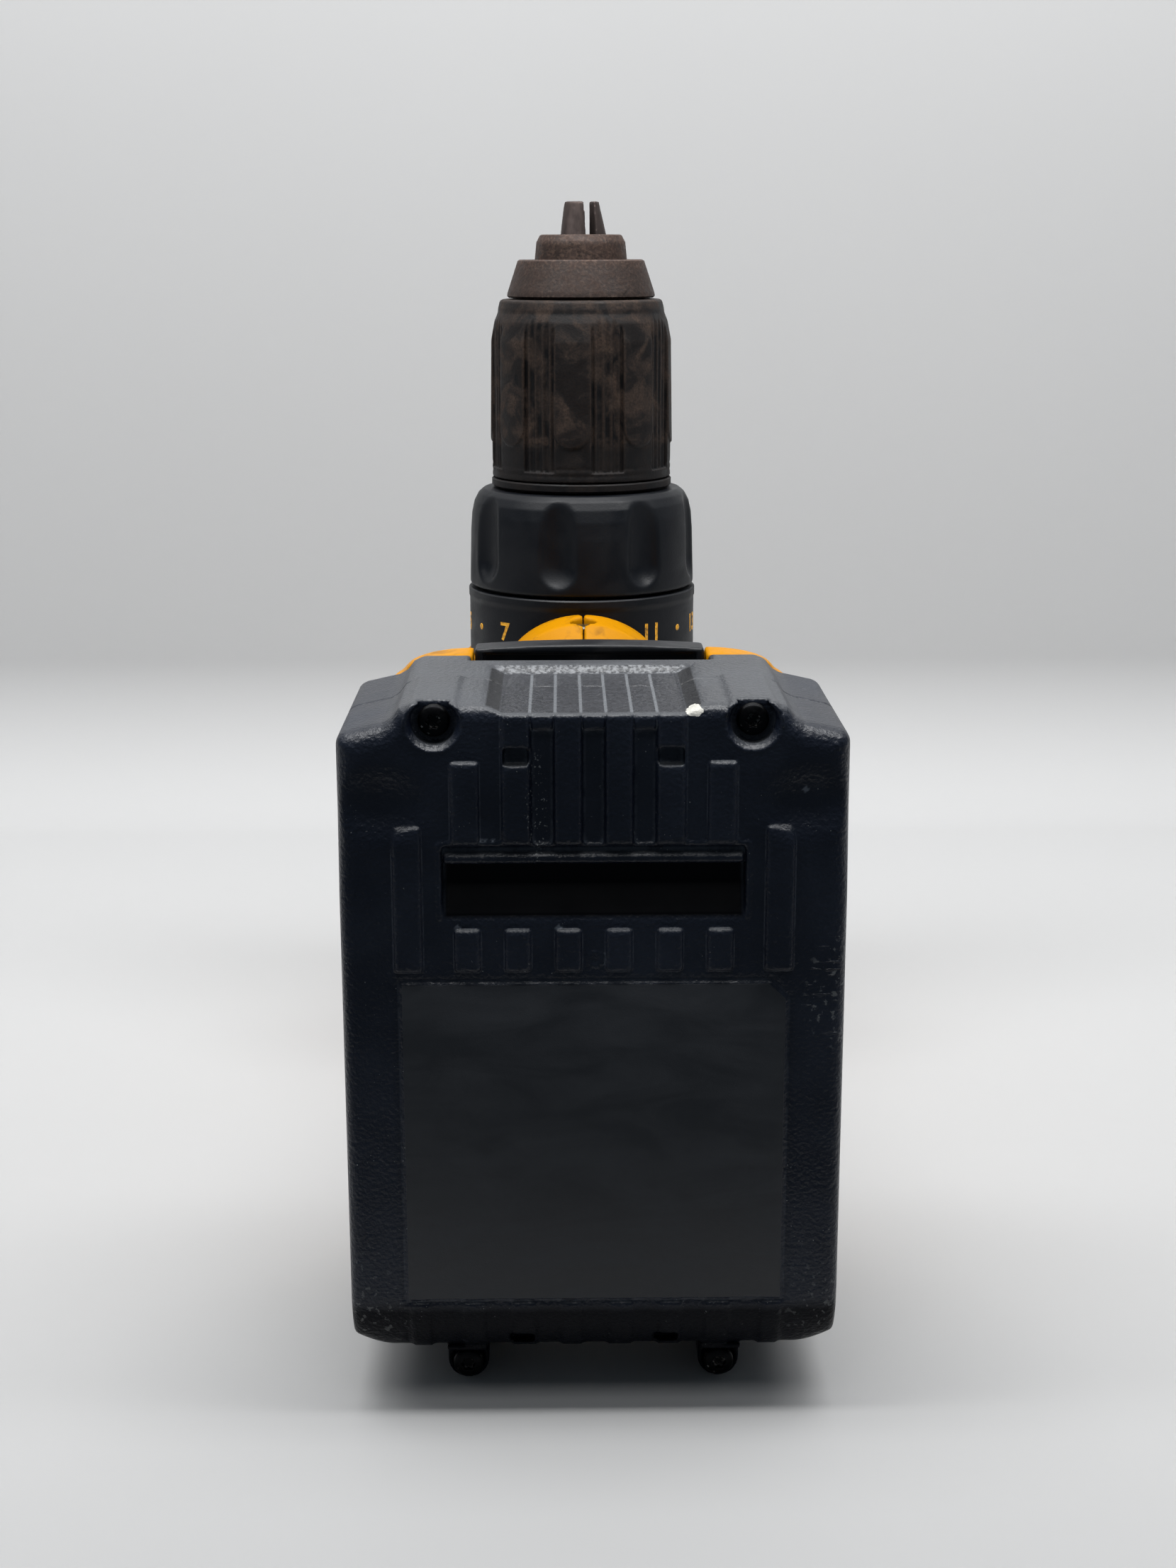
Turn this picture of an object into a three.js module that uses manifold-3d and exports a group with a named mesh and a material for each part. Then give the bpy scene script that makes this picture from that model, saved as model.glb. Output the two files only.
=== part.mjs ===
// Cordless drill with a slide-on battery pack, standing on the back of its motor housing.
// Millimetres, +Z up along the chuck axis. The origin is on the chuck axis, in the plane of the rear face.
// -Y points from the barrel down the handle to the battery, and +X is the drill's left when held.
import * as THREE from 'three';
import { mergeVertices } from 'three/addons/utils/BufferGeometryUtils.js';
import Module from 'manifold-3d';

const wasm = await Module();
wasm.setup();

// ---- driving dimensions -------------------------------------------------------------------------
const GAP = 0.3;                 // clearance between neighbouring pieces
const SEAM = 0.15;               // half the gap between the two housing halves
const WALL = 2.6;                // plastic wall
const HANDLE_WALL = 4.2;         // wall and rubber together in the handle
const GRIP_THICK = 1.6;

const BARREL = { rear: 14.3, front: 95.6, radius: 31, frontRadius: 28 };
const REAR_FACE_RADIUS = 22;

const DIAL = { bottom: 96, top: 108.4, radius: 26.8, bandRadius: 27, bore: 23.3 };
const COLLAR = { bottom: 109, top: 134.7, bore: 21.5, lipBore: 17 };
const SLEEVE = { bottom: 137.5, top: 177.75, radius: 21.5, bore: 18.4 };
const NOSE = { shoulder: 186.6, top: 192.7 };

const JAW = { tilt: 13, radius: 3.5, tipAxis: 0.6, tip: 200.2, rear: 158, bite: 2, apex: 1.5 };

const MODULE = 1;                // gear module
const PRESSURE = 25;             // pressure angle, degrees
const TEETH = { sun: 9, planet: 12, ring: 33 };
const PLANET_ORBIT = MODULE * (TEETH.sun + TEETH.planet) / 2;
const BACKLASH = 0.16;
const STAGE_1 = { bottom: 66.5, top: 72.5 };
const STAGE_2 = { bottom: 77, top: 83.5 };
const PLANET_PIN = 2;

const PACK = { width: 80.6, base: -190, seam: -168, top: -146, rear: 7.5, shoulder: 116.5, front: 121 };
const PACK_HUMP = 28.5;          // half-width of the higher middle of the pack's front end
const PACK_ROUND = 14;           // rounding from the base to the rear end
const LABEL = { half: 31.25, bottom: 21, top: 76, proud: 0.2 };
const RIB_PROUD = 0.8;
const RIB_COLUMNS = [4, 12.1, 20.1];
const RIB_WIDTH = 4.3;
const CELL = { radius: 8.95, half: 32.5, pitchZ: 19.4, pitchY: 18.9, firstZ: 21.5, firstY: -175.4, sides: 12 };
const BOSS = { x: 21.5, z: 3.5, radius: 3.5, face: -178 };
const FINGER = { half: 23.9, depth: 3.4, bottom: 86.3, top: 98.4, wall: 97 };   // finger recess in the base
const FRONT_HOLLOW = { half: 16.7, innerHalf: 15, inner: -155, depth: 1.3 };
const FRONT_SCREW = { x: 24.85, z: 118.2, pocket: 3.65 };

const RAIL = { neck: 16, flange: 20, step: -138.8, top: -132, rear: 33.7, front: 107.2 };
const BUTTON = { half: 20.1, bottom: 110, top: 122.2, under: -143.5, over: -137.2 };

const TRIGGER = { half: 6.9, top: -46, bottom: -69.5, back: 62 };
const LEVER = { half: 21, y: [-42.7, -36.3], z: [58.3, 64.7] };
const SELECTOR = { half: 7, y: [31.4, 33.6], z: [60, 76] };
const HOOK_PAD = { face: 38.6, y: [-144, -132], z: [58, 86] };
const HOOK_HOLE = { radius: 2, y: -138, z: 66, floor: 33 };
const LED = { y: -35, radius: 2.6, bottom: 104.4, top: 107.9 };
const SWITCH = { half: 9, y: [-72, -44], z: [36, 50] };
const TERMINALS = { half: 15, y: [-138.5, -132.2], z: [28.4, 33], bladeX: 8 };
const HOUSING_SCREWS = [[-33, 24], [-33, 88], [-80, 38], [-106, 62], [-124.5, 30], [-124.5, 86]];
const SCREW_HEAD_SEAT = 9;

const ROUND = 24;                // sides of the large turned parts
const SMALL_ROUND = 10;          // sides of small round parts

// ---- materials ----------------------------------------------------------------------------------
const finish = (color, roughness, metalness) => new THREE.MeshStandardMaterial({ color, roughness, metalness });
const YELLOW = finish(0xf2a516, 0.5, 0);
const BLACK = finish(0x14191f, 0.55, 0);
const RUBBER = finish(0x17191c, 0.85, 0);
const SLEEVE_BLACK = finish(0x221d1a, 0.75, 0);
const RUSTY = finish(0x4a3128, 0.7, 0.7);
const JAW_STEEL = finish(0x3a302c, 0.5, 0.9);
const STEEL = finish(0x8d9094, 0.35, 1);
const DARK_STEEL = finish(0x2a2c2f, 0.45, 0.9);
const CAST = finish(0x9a9c9e, 0.5, 0.9);
const COPPER = finish(0xa86a3c, 0.4, 0.9);
const WHITE_PLASTIC = finish(0xd9d8d0, 0.5, 0);
const CELL_WRAP = finish(0x2f7a4e, 0.4, 0);
const BOARD = finish(0x1d5a38, 0.5, 0);
const LENS = finish(0xe8edf2, 0.15, 0);

// ---- solids -------------------------------------------------------------------------------------
function solid(geometry) {
  const bare = geometry.clone();
  bare.deleteAttribute('normal');
  bare.deleteAttribute('uv');
  const merged = mergeVertices(bare, 1e-4);
  const vertProperties = new Float32Array(merged.attributes.position.array);
  const triVerts = new Uint32Array(merged.index.array);
  if (signedVolume(vertProperties, triVerts) < 0) triVerts.reverse();
  return new wasm.Manifold(new wasm.Mesh({ numProp: 3, vertProperties, triVerts }));
}

function signedVolume(points, triangles) {
  const [a, b, c] = [new THREE.Vector3(), new THREE.Vector3(), new THREE.Vector3()];
  let volume = 0;
  for (let i = 0; i < triangles.length; i += 3) {
    a.fromArray(points, triangles[i] * 3);
    b.fromArray(points, triangles[i + 1] * 3);
    c.fromArray(points, triangles[i + 2] * 3);
    volume += a.dot(b.cross(c)) / 6;
  }
  return volume;
}

const join = (first, ...others) => others.reduce((sum, one) => sum.add(one), first);
const cut = (first, ...others) => others.reduce((rest, one) => rest.subtract(one), first);
const common = (first, ...others) => others.reduce((rest, one) => rest.intersect(one), first);

function box([x0, x1], [y0, y1], [z0, z1]) {
  const geometry = new THREE.BoxGeometry(x1 - x0, y1 - y0, z1 - z0);
  return solid(geometry.translate((x0 + x1) / 2, (y0 + y1) / 2, (z0 + z1) / 2));
}

// A round bar along x, y or z; at is its centre line's place in the other two directions.
function rod(axis, radius, [from, to], at = [0, 0], sides = SMALL_ROUND) {
  const geometry = new THREE.CylinderGeometry(radius, radius, to - from, sides);
  const middle = (from + to) / 2;
  if (axis === 'x') geometry.rotateZ(Math.PI / 2).translate(middle, at[0], at[1]);
  if (axis === 'y') geometry.translate(at[0], middle, at[1]);
  if (axis === 'z') geometry.rotateX(Math.PI / 2).translate(at[0], at[1], middle);
  return solid(geometry);
}

// A turned solid about the Z axis: points are [radius, height], and a profile off the axis closes.
function turned(points, sides = ROUND) {
  const profile = points.map(([radius, height]) => new THREE.Vector2(radius, height));
  if (points[0][0] > 0) profile.push(profile[0].clone());
  return solid(new THREE.LatheGeometry(profile, sides).rotateX(Math.PI / 2));
}

const ring = (inner, outer, bottom, top, sides = ROUND) => turned(
  [[inner, bottom], [outer, bottom], [outer, top], [inner, top]], sides);

// Prisms of a flat outline: (x, z) along Y, (y, z) along X and (x, y) along Z.
function extrude(outline, depth, curveSegments) {
  const shape = outline instanceof THREE.Shape ? outline
    : new THREE.Shape(outline.map(([u, v]) => new THREE.Vector2(u, v)));
  return new THREE.ExtrudeGeometry(shape, { depth, bevelEnabled: false, curveSegments });
}
const prismY = (outline, [y0, y1], curveSegments = 5) => solid(
  extrude(outline, y1 - y0, curveSegments).rotateX(Math.PI / 2).translate(0, y1, 0));
const prismZ = (outline, [z0, z1], curveSegments = 5) => solid(
  extrude(outline, z1 - z0, curveSegments).translate(0, 0, z0));
const YZ_TO_XYZ = new THREE.Matrix4().set(0, 0, 1, 0, 1, 0, 0, 0, 0, 1, 0, 0, 0, 0, 0, 1);
const prismX = (outline, [x0, x1], curveSegments = 5) => solid(
  extrude(outline, x1 - x0, curveSegments).applyMatrix4(YZ_TO_XYZ).translate(x0, 0, 0));

// A closed skin over rounded sections in XZ planes, each { y, half, z: [low, high], power }.
function loft(sections, inset = 0, sides = 16) {
  const positions = [];
  for (const { y, half, z: [low, high], power } of sections) {
    for (let i = 0; i < sides; i += 1) {
      const angle = (2 * Math.PI * (i + 0.5)) / sides;
      const round = (value) => Math.sign(value) * Math.abs(value) ** (2 / power);
      const x = (half - inset) * round(Math.cos(angle));
      const z = (low + high) / 2 + ((high - low) / 2 - inset) * round(Math.sin(angle));
      positions.push(x, y, z);
    }
  }
  const index = [];
  const last = (sections.length - 1) * sides;
  for (let i = 0; i < sides; i += 1) {
    const next = (i + 1) % sides;
    for (let start = 0; start < last; start += sides) {
      index.push(start + i, start + next, start + sides + i);
      index.push(start + next, start + sides + next, start + sides + i);
    }
  }
  for (let i = 1; i < sides - 1; i += 1) {
    index.push(0, i + 1, i, last, last + i, last + i + 1);
  }
  const geometry = new THREE.BufferGeometry();
  geometry.setAttribute('position', new THREE.Float32BufferAttribute(positions, 3));
  geometry.setIndex(index);
  return solid(geometry);
}

// A coil spring about the local Z axis.
function coil(radius, wire, length, turns, stepsPerTurn = 8) {
  const points = [];
  const steps = turns * stepsPerTurn;
  for (let i = 0; i <= steps; i += 1) {
    const angle = (2 * Math.PI * i) / stepsPerTurn;
    const height = wire + ((length - 2 * wire) * i) / steps;
    points.push(new THREE.Vector3(radius * Math.cos(angle), radius * Math.sin(angle), height));
  }
  const section = new THREE.Shape().absarc(0, 0, wire, 0, 2 * Math.PI);
  const extrudePath = new THREE.CatmullRomCurve3(points);
  return solid(new THREE.ExtrudeGeometry(section, { steps, extrudePath, curveSegments: 2 }));
}

// ---- gears --------------------------------------------------------------------------------------
const involute = (angle) => Math.tan(angle) - angle;

// Outline of a spur gear with its first tooth at angle start. A ring gear's bore is the outline of a
// gear whose teeth are the ring's gaps, so thicken is +1 there and -1 on a gear.
function gearOutline(teeth, addendum, dedendum, start, thicken) {
  const pitchRadius = (MODULE * teeth) / 2;
  const pressure = THREE.MathUtils.degToRad(PRESSURE);
  const baseRadius = pitchRadius * Math.cos(pressure);
  const root = pitchRadius - dedendum;
  const tip = pitchRadius + addendum;
  const halfAtPitch = Math.PI / (2 * teeth) + (thicken * BACKLASH) / (2 * pitchRadius);
  const halfAngle = (radius) => halfAtPitch + involute(pressure)
    - (radius > baseRadius ? involute(Math.acos(baseRadius / radius)) : 0);
  const flank = [root, tip].map((radius) => [radius, halfAngle(radius)]);
  const points = [];
  for (let tooth = 0; tooth < teeth; tooth += 1) {
    const middle = start + (2 * Math.PI * tooth) / teeth;
    for (const [radius, half] of flank) points.push([radius, middle - half]);
    for (const [radius, half] of [...flank].reverse()) points.push([radius, middle + half]);
  }
  return points.map(([radius, angle]) => [radius * Math.cos(angle), radius * Math.sin(angle)]);
}

const gear = (teeth, start, [bottom, top]) => prismZ(gearOutline(teeth, 0.8, 1.1, start, -1), [bottom, top]);

// ---- body collection ----------------------------------------------------------------------------
const drill = new THREE.Group();
drill.name = 'cordless_drill';

function addPiece(name, body, material, parent = drill) {
  const { vertProperties, triVerts } = body.getMesh();
  const geometry = new THREE.BufferGeometry();
  geometry.setAttribute('position', new THREE.BufferAttribute(vertProperties, 3));
  geometry.setIndex(new THREE.BufferAttribute(triVerts, 1));
  geometry.computeVertexNormals();
  const mesh = new THREE.Mesh(geometry, material);
  mesh.name = name;
  parent.add(mesh);
  return mesh;
}

// ---- housing ------------------------------------------------------------------------------------
const HANDLE = [
  { y: -18, half: 24, z: [20, 82], power: 2.2 },
  { y: -30, half: 19, z: [21, 78], power: 2.3 },
  { y: -42, half: 17, z: [23, 72], power: 2.4 },
  { y: -62, half: 16.5, z: [26, 69], power: 2.4 },
  { y: -92, half: 17, z: [29, 74], power: 2.4 },
  { y: -112, half: 18.5, z: [29, 82], power: 2.5 },
  { y: -122, half: 25, z: [24, 96], power: 3 },
  { y: -130, half: 33, z: [15, 112], power: 4.5 },
  { y: -138, half: 38, z: [12, 121], power: 7 },
  { y: -145.7, half: 38.4, z: [12, 121], power: 8 },
];
const CHIN = [
  { y: -24, half: 21, z: [66, 108.2], power: 2 },
  { y: -31, half: 20.5, z: [67.7, 108.7], power: 2 },
  { y: -38, half: 20, z: [68.5, 108.1], power: 2 },
  { y: -42, half: 17.5, z: [70, 104.8], power: 2 },
  { y: -44, half: 14, z: [73, 99], power: 2 },
];
const CAVITY_END = -128.8;

const barrel = (inset, rear, front) => turned([
  [0, rear], [BARREL.radius - inset, rear], [BARREL.radius - inset, 62],
  [BARREL.frontRadius - inset, front], [0, front]]);

function handleCavity() {
  const inside = HANDLE.filter(({ y }) => y > CAVITY_END);
  const [before, after] = [HANDLE[6], HANDLE[7]];
  const share = (CAVITY_END - before.y) / (after.y - before.y);
  const mix = (from, to) => from + (to - from) * share;
  const end = {
    y: CAVITY_END,
    half: mix(before.half, after.half),
    z: [mix(before.z[0], after.z[0]), mix(before.z[1], after.z[1])],
    power: mix(before.power, after.power),
  };
  return loft([...inside, end], HANDLE_WALL);
}

// The rubber wraps the whole lower handle and the back of the upper handle.
function gripZone(spare) {
  return join(
    box([-30, 30], [-114 - spare, -76 + spare], [0, 110]),
    box([-30, 30], [-114 - spare, -47 + spare], [0, 57 + spare]));
}

// The open-fronted T-slot under the foot that holds the pack's rails, with the notch for its button.
function railSlot() {
  const open = 126;
  const rear = 28;
  return join(
    box([-RAIL.neck - 0.4, RAIL.neck + 0.4], [-147, RAIL.step - 0.2], [rear, open]),
    box([-RAIL.flange - 0.4, RAIL.flange + 0.4], [RAIL.step - GAP, RAIL.top + 0.4], [rear, open]),
    box([-BUTTON.half - GAP, BUTTON.half + GAP], [-147, RAIL.top + 0.4], [BUTTON.bottom - 1.1, open]));
}

// Space above the shoulder beside the hump of the front end, on one side.
function shoulderSpace(side) {
  const outline = new THREE.Shape();
  const drop = PACK.shoulder;
  outline.moveTo(side * (PACK_HUMP + 0.6), PACK.front);
  outline.bezierCurveTo(side * 31, PACK.front - 0.4, side * 31.5, drop + 0.2, side * 34.5, drop);
  outline.lineTo(side * 44, drop);
  outline.lineTo(side * 44, PACK.front + 6);
  outline.lineTo(side * (PACK_HUMP + 0.6), PACK.front + 6);
  return outline;
}

function screwBosses() {
  return HOUSING_SCREWS.map((place) => rod('x', 4.3, [-22, 22], place, 8));
}

function screwHoles() {
  return HOUSING_SCREWS.flatMap((place) => [
    rod('x', 2.2, [-9, SCREW_HEAD_SEAT + 1], place, 8),
    rod('x', 3.9, [SCREW_HEAD_SEAT, 30], place, 8),
  ]);
}

function housingShell() {
  const dialSpace = rod('z', DIAL.bandRadius + 0.4, [BARREL.front, 125], [0, 0], ROUND);
  const hookPads = [-1, 1].map((side) => box(
    [Math.min(side * 30, side * HOOK_PAD.face), Math.max(side * 30, side * HOOK_PAD.face)],
    HOOK_PAD.y, HOOK_PAD.z));
  const gripSeat = cut(gripZone(GAP), loft(HANDLE, GRIP_THICK + GAP));
  const outer = cut(
    join(barrel(0, BARREL.rear, BARREL.front), loft(HANDLE), loft(CHIN), ...hookPads),
    gripSeat, dialSpace);
  const hollow = join(
    barrel(WALL, BARREL.rear - 5, BARREL.front - 3),
    rod('z', 23.2, [60, 100], [0, 0], ROUND),
    handleCavity(),
    loft(CHIN.slice(0, 4), WALL));
  const bosses = common(join(...screwBosses()), outer);
  const insideBarrel = rod('z', BARREL.frontRadius - WALL - 1, [0, 120], [0, 0], ROUND);
  const shell = join(cut(outer, hollow), cut(bosses, insideBarrel));
  const hookHoles = [-1, 1].map((side) => rod(
    'x', HOOK_HOLE.radius, side > 0 ? [HOOK_HOLE.floor, 40] : [-40, -HOOK_HOLE.floor],
    [HOOK_HOLE.y, HOOK_HOLE.z], 12));
  return cut(
    shell,
    railSlot(),
    box([-12, 12], [-132, -127], SWITCH.z),
    box([-TRIGGER.half - 0.5, TRIGGER.half + 0.5], [TRIGGER.bottom - 1.2, -44.6], [58, 100]),
    box([-30, 30], [LEVER.y[0] - 0.4, LEVER.y[1] + 0.4], [LEVER.z[0] - 0.4, LEVER.z[1] + 0.4]),
    box([-4.3, 4.3], [20, 36], [55, 77]),
    rod('z', LED.radius + GAP, [LED.bottom - 1.4, 112], [0, LED.y]),
    prismY(shoulderSpace(-1), [-150, -118]),
    prismY(shoulderSpace(1), [-150, -118]),
    ...screwHoles(),
    ...hookHoles);
}

function buildHousing() {
  const shell = housingShell();
  const grip = cut(
    common(gripZone(0), loft(HANDLE)),
    loft(HANDLE, GRIP_THICK),
    ...HOUSING_SCREWS.map((place) => rod('x', 4.4, [2, 30], place, 8)));
  const sides = { left: [SEAM, 60], right: [-60, -SEAM] };
  for (const [side, span] of Object.entries(sides)) {
    const half = box(span, [-220, 60], [-10, 220]);
    addPiece(`housing_${side}`, common(shell, half), YELLOW);
    addPiece(`grip_${side}`, common(grip, half), RUBBER);
  }
}

function buildHousingScrews() {
  const body = join(
    rod('x', 1.8, [-8, SCREW_HEAD_SEAT + GAP + 0.5], [0, 0], 8),
    rod('x', 3.3, [SCREW_HEAD_SEAT + GAP, SCREW_HEAD_SEAT + 3], [0, 0], 8));
  HOUSING_SCREWS.forEach(([y, z], i) => {
    addPiece(`housing_screw_${i + 1}`, body, DARK_STEEL).position.set(0, y, z);
  });
}

function buildRearCap() {
  const vents = [];
  for (let i = 0; i < 6; i += 1) {
    const angle = ((i - 2.5) * 20 + 90) * (Math.PI / 180);
    const slot = new THREE.BoxGeometry(3.2, 12, 5.4).translate(0, 30, 9);
    vents.push(solid(slot.rotateZ(angle - Math.PI / 2)));
  }
  const cup = turned([
    [0, 0], [REAR_FACE_RADIUS, 0], [27.2, 2], [30.2, 5.6], [BARREL.radius, 10], [BARREL.radius, 14],
    [BARREL.radius - WALL, 14], [BARREL.radius - WALL, 10], [26, 5], [23, WALL], [0, WALL]]);
  const seat = ring(5.8, 8, WALL - 0.6, 10, 24);
  addPiece('rear_cap', cut(join(cup, seat), ...vents), BLACK);
}

function buildControls() {
  const face = new THREE.Shape();
  face.moveTo(TRIGGER.top, TRIGGER.back);
  face.lineTo(TRIGGER.top, 84);
  face.quadraticCurveTo(-57, 73.5, TRIGGER.bottom, 80.5);
  face.lineTo(TRIGGER.bottom, TRIGGER.back);
  const stem = box([-2.5, 2.5], [-52, -48], [53, TRIGGER.back + 1]);
  addPiece('trigger', join(prismX(face, [-TRIGGER.half, TRIGGER.half], 6), stem), BLACK);
  addPiece('trigger_spring', coil(3, 0.6, 11.2, 5), STEEL).position.set(0, -62, 50.4);

  const stemHole = box([-2.9, 2.9], [-52.4, -47.6], [43, SWITCH.z[1] + 1]);
  const switchBody = cut(box([-SWITCH.half, SWITCH.half], SWITCH.y, SWITCH.z), stemHole);
  addPiece('switch_body', switchBody, BLACK);

  const knobs = [-1, 1].map((side) => box(
    side > 0 ? [18.5, LEVER.half] : [-LEVER.half, -18.5],
    [LEVER.y[0], LEVER.y[1]], [LEVER.z[0], LEVER.z[1]]));
  const bar = box([-19, 19], [LEVER.y[0] + 0.6, LEVER.y[1] - 0.6], [LEVER.z[0] + 0.6, LEVER.z[1] - 0.6]);
  addPiece('direction_lever', join(bar, ...knobs), BLACK);

  const plate = box([-SELECTOR.half, SELECTOR.half], SELECTOR.y, SELECTOR.z);
  const ridges = [64, 68, 72].map((z) => box([-6, 6], [SELECTOR.y[1] - 0.5, SELECTOR.y[1] + 0.8], [z - 0.8, z + 0.8]));
  const foot = box([-4, 4], [27, SELECTOR.y[0] + 0.5], [64, 72]);
  addPiece('speed_selector', join(plate, foot, ...ridges), BLACK);

  addPiece('led_lens', rod('z', LED.radius, [LED.bottom, LED.top], [0, LED.y]), LENS);

  const block = box([-TERMINALS.half, TERMINALS.half], TERMINALS.y, TERMINALS.z);
  const blades = [-TERMINALS.bladeX, TERMINALS.bladeX].map((x) => box(
    [x - 0.4, x + 0.4], [-137, -134], [TERMINALS.z[1] - 1, 44]));
  addPiece('terminal_block', join(block, ...blades), BLACK);
}

// ---- motor --------------------------------------------------------------------------------------
function buildMotor() {
  addPiece('motor_can', turned([
    [20, 13], [21.5, 13], [21.5, 62], [3, 62], [3, 60], [20, 60]], 24), DARK_STEEL);
  const slots = [];
  for (let i = 0; i < 5; i += 1) {
    const slot = new THREE.BoxGeometry(8, 3, 30).translate(15.5, 0, 37);
    slots.push(solid(slot.rotateZ((i * 2 * Math.PI) / 5)));
  }
  const core = cut(rod('z', 16.2, [25, 49], [0, 0], 20), ...slots);
  const shaft = rod('z', 2, [4.2, 73], [0, 0], 14);
  const commutator = rod('z', 6, [13, 21], [0, 0], 14);
  addPiece('armature', join(core, shaft, commutator), COPPER);
  addPiece('brush_card', ring(7.5, 19.6, 14, 18.5, 18), WHITE_PLASTIC);
  addPiece('rear_bearing', ring(2.3, 5.5, 5, 9.5, 20), STEEL);
  const blades = [];
  for (let i = 0; i < 8; i += 1) {
    const blade = new THREE.BoxGeometry(11, 1, 5).translate(11, 0, 55.4);
    blades.push(solid(blade.rotateZ((i * Math.PI) / 4)));
  }
  addPiece('motor_fan', join(ring(2.3, 16.5, 52, 53.4, 16), ring(2.3, 6.2, 53, 57.8, 16), ...blades), BLACK);
  const pinion = cut(gear(TEETH.sun, 0, [STAGE_1.bottom, STAGE_1.top]), rod('z', 2.3, [60, 80], [0, 0], 14));
  addPiece('motor_pinion', pinion, STEEL);
}

// ---- gearbox ------------------------------------------------------------------------------------
function planetPins(bottom, top) {
  return [0, 1, 2].map((i) => {
    const angle = (i * 2 * Math.PI) / 3;
    const place = [PLANET_ORBIT * Math.cos(angle), PLANET_ORBIT * Math.sin(angle)];
    return rod('z', PLANET_PIN, [bottom, top], place, 12);
  });
}

// Planets sit at 0, 120 and 240 degrees, each with a gap facing the sun's tooth and the ring's tooth.
function buildPlanets(stage, { bottom, top }) {
  const halfPitch = Math.PI / TEETH.planet;
  const bore = rod('z', PLANET_PIN + GAP, [bottom - 1, top + 1], [0, 0], 12);
  const body = cut(gear(TEETH.planet, halfPitch, [bottom, top]), bore);
  for (let i = 0; i < 3; i += 1) {
    const angle = (i * 2 * Math.PI) / 3;
    const planet = addPiece(`planet_${stage}_${i + 1}`, body, STEEL);
    planet.position.set(PLANET_ORBIT * Math.cos(angle), PLANET_ORBIT * Math.sin(angle), 0);
    planet.rotation.z = angle;
  }
}

function buildGearbox() {
  const toothSpace = prismZ(gearOutline(TEETH.ring, 1.1, 0.8, Math.PI / TEETH.ring, 1), [60, 90]);
  addPiece('ring_gear', cut(rod('z', 19.5, [65.5, 84.5], [0, 0], ROUND), toothSpace), STEEL);
  buildPlanets(1, STAGE_1);
  buildPlanets(2, STAGE_2);

  const carrier = rod('z', 14.4, [73.3, 76.3], [0, 0], 20);
  const sun = gear(TEETH.sun, 0, [76, 84.3]);
  addPiece('carrier_1', join(carrier, sun, ...planetPins(STAGE_1.bottom, 74)), STEEL);

  const outputPlate = rod('z', 14.4, [85, 89], [0, 0], 20);
  const output = join(
    outputPlate, rod('z', 9, [88, 122], [0, 0], 20), rod('z', 6.35, [121, 155], [0, 0], 20),
    ...planetPins(STAGE_2.bottom, 86));
  addPiece('spindle', cut(output, rod('z', 2.8, [136, 156], [0, 0], 12)), STEEL);

  addPiece('gearcase', turned([
    [19.8, 63], [22.6, 63], [22.6, 94], [16, 94], [16, 131], [13, 131], [13, 90.3], [19.8, 90.3]], 24), CAST);
  addPiece('spindle_bearing', ring(9.4, 12.6, 112, 120, 20), STEEL);
  addPiece('clutch_spring', coil(18.6, 1.1, 30, 4, 10), STEEL).position.z = 96.5;
}

// ---- clutch -------------------------------------------------------------------------------------
// Bars around the Z axis that cut grooves into a turned part.
function grooves(count, firstDegrees, radius, atRadius, [bottom, top], sides = 8) {
  const bars = [];
  for (let i = 0; i < count; i += 1) {
    const angle = THREE.MathUtils.degToRad(firstDegrees + (i * 360) / count);
    bars.push(rod('z', radius, [bottom, top], [atRadius * Math.sin(angle), -atRadius * Math.cos(angle)], sides));
  }
  return bars;
}

function buildClutch() {
  addPiece('clutch_dial', turned([
    [DIAL.bore, DIAL.bottom], [DIAL.radius, DIAL.bottom], [DIAL.radius, 105.2], [DIAL.bandRadius, 105.6],
    [DIAL.bandRadius, DIAL.top], [DIAL.bore, DIAL.top]]), BLACK);
  const body = turned([
    [COLLAR.bore, COLLAR.bottom], [26.6, COLLAR.bottom], [26.6, 113], [26.3, 125], [26, 129], [25.4, 131.7],
    [24.4, 133.6], [23.1, COLLAR.top], [COLLAR.lipBore, COLLAR.top], [COLLAR.lipBore, 128], [COLLAR.bore, 128]]);
  addPiece('clutch_collar', cut(body, ...grooves(8, -57, 5.4, 30.3, [114.5, 136])), BLACK);
}

// ---- chuck --------------------------------------------------------------------------------------
// A straight bar along the first jaw's slanted line.
function jawBar(radius, from, to) {
  const slope = Math.tan(THREE.MathUtils.degToRad(JAW.tilt));
  const length = (to - from) / Math.cos(THREE.MathUtils.degToRad(JAW.tilt));
  const middle = (from + to) / 2;
  const geometry = new THREE.CylinderGeometry(radius, radius, length, SMALL_ROUND).rotateX(Math.PI / 2);
  geometry.rotateY(-THREE.MathUtils.degToRad(JAW.tilt));
  return solid(geometry.translate(JAW.tipAxis + (200 - middle) * slope, 0, middle));
}

function jawBody() {
  const far = 18;
  const spread = (x) => Math.sqrt(3) * (x - JAW.apex);
  const wedge = prismZ([
    [JAW.bite, -spread(JAW.bite)], [far, -spread(far)], [far, spread(far)], [JAW.bite, spread(JAW.bite)],
  ], [JAW.rear - 5, JAW.tip]);
  return common(jawBar(JAW.radius, JAW.rear, JAW.tip + 4), wedge);
}

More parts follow.
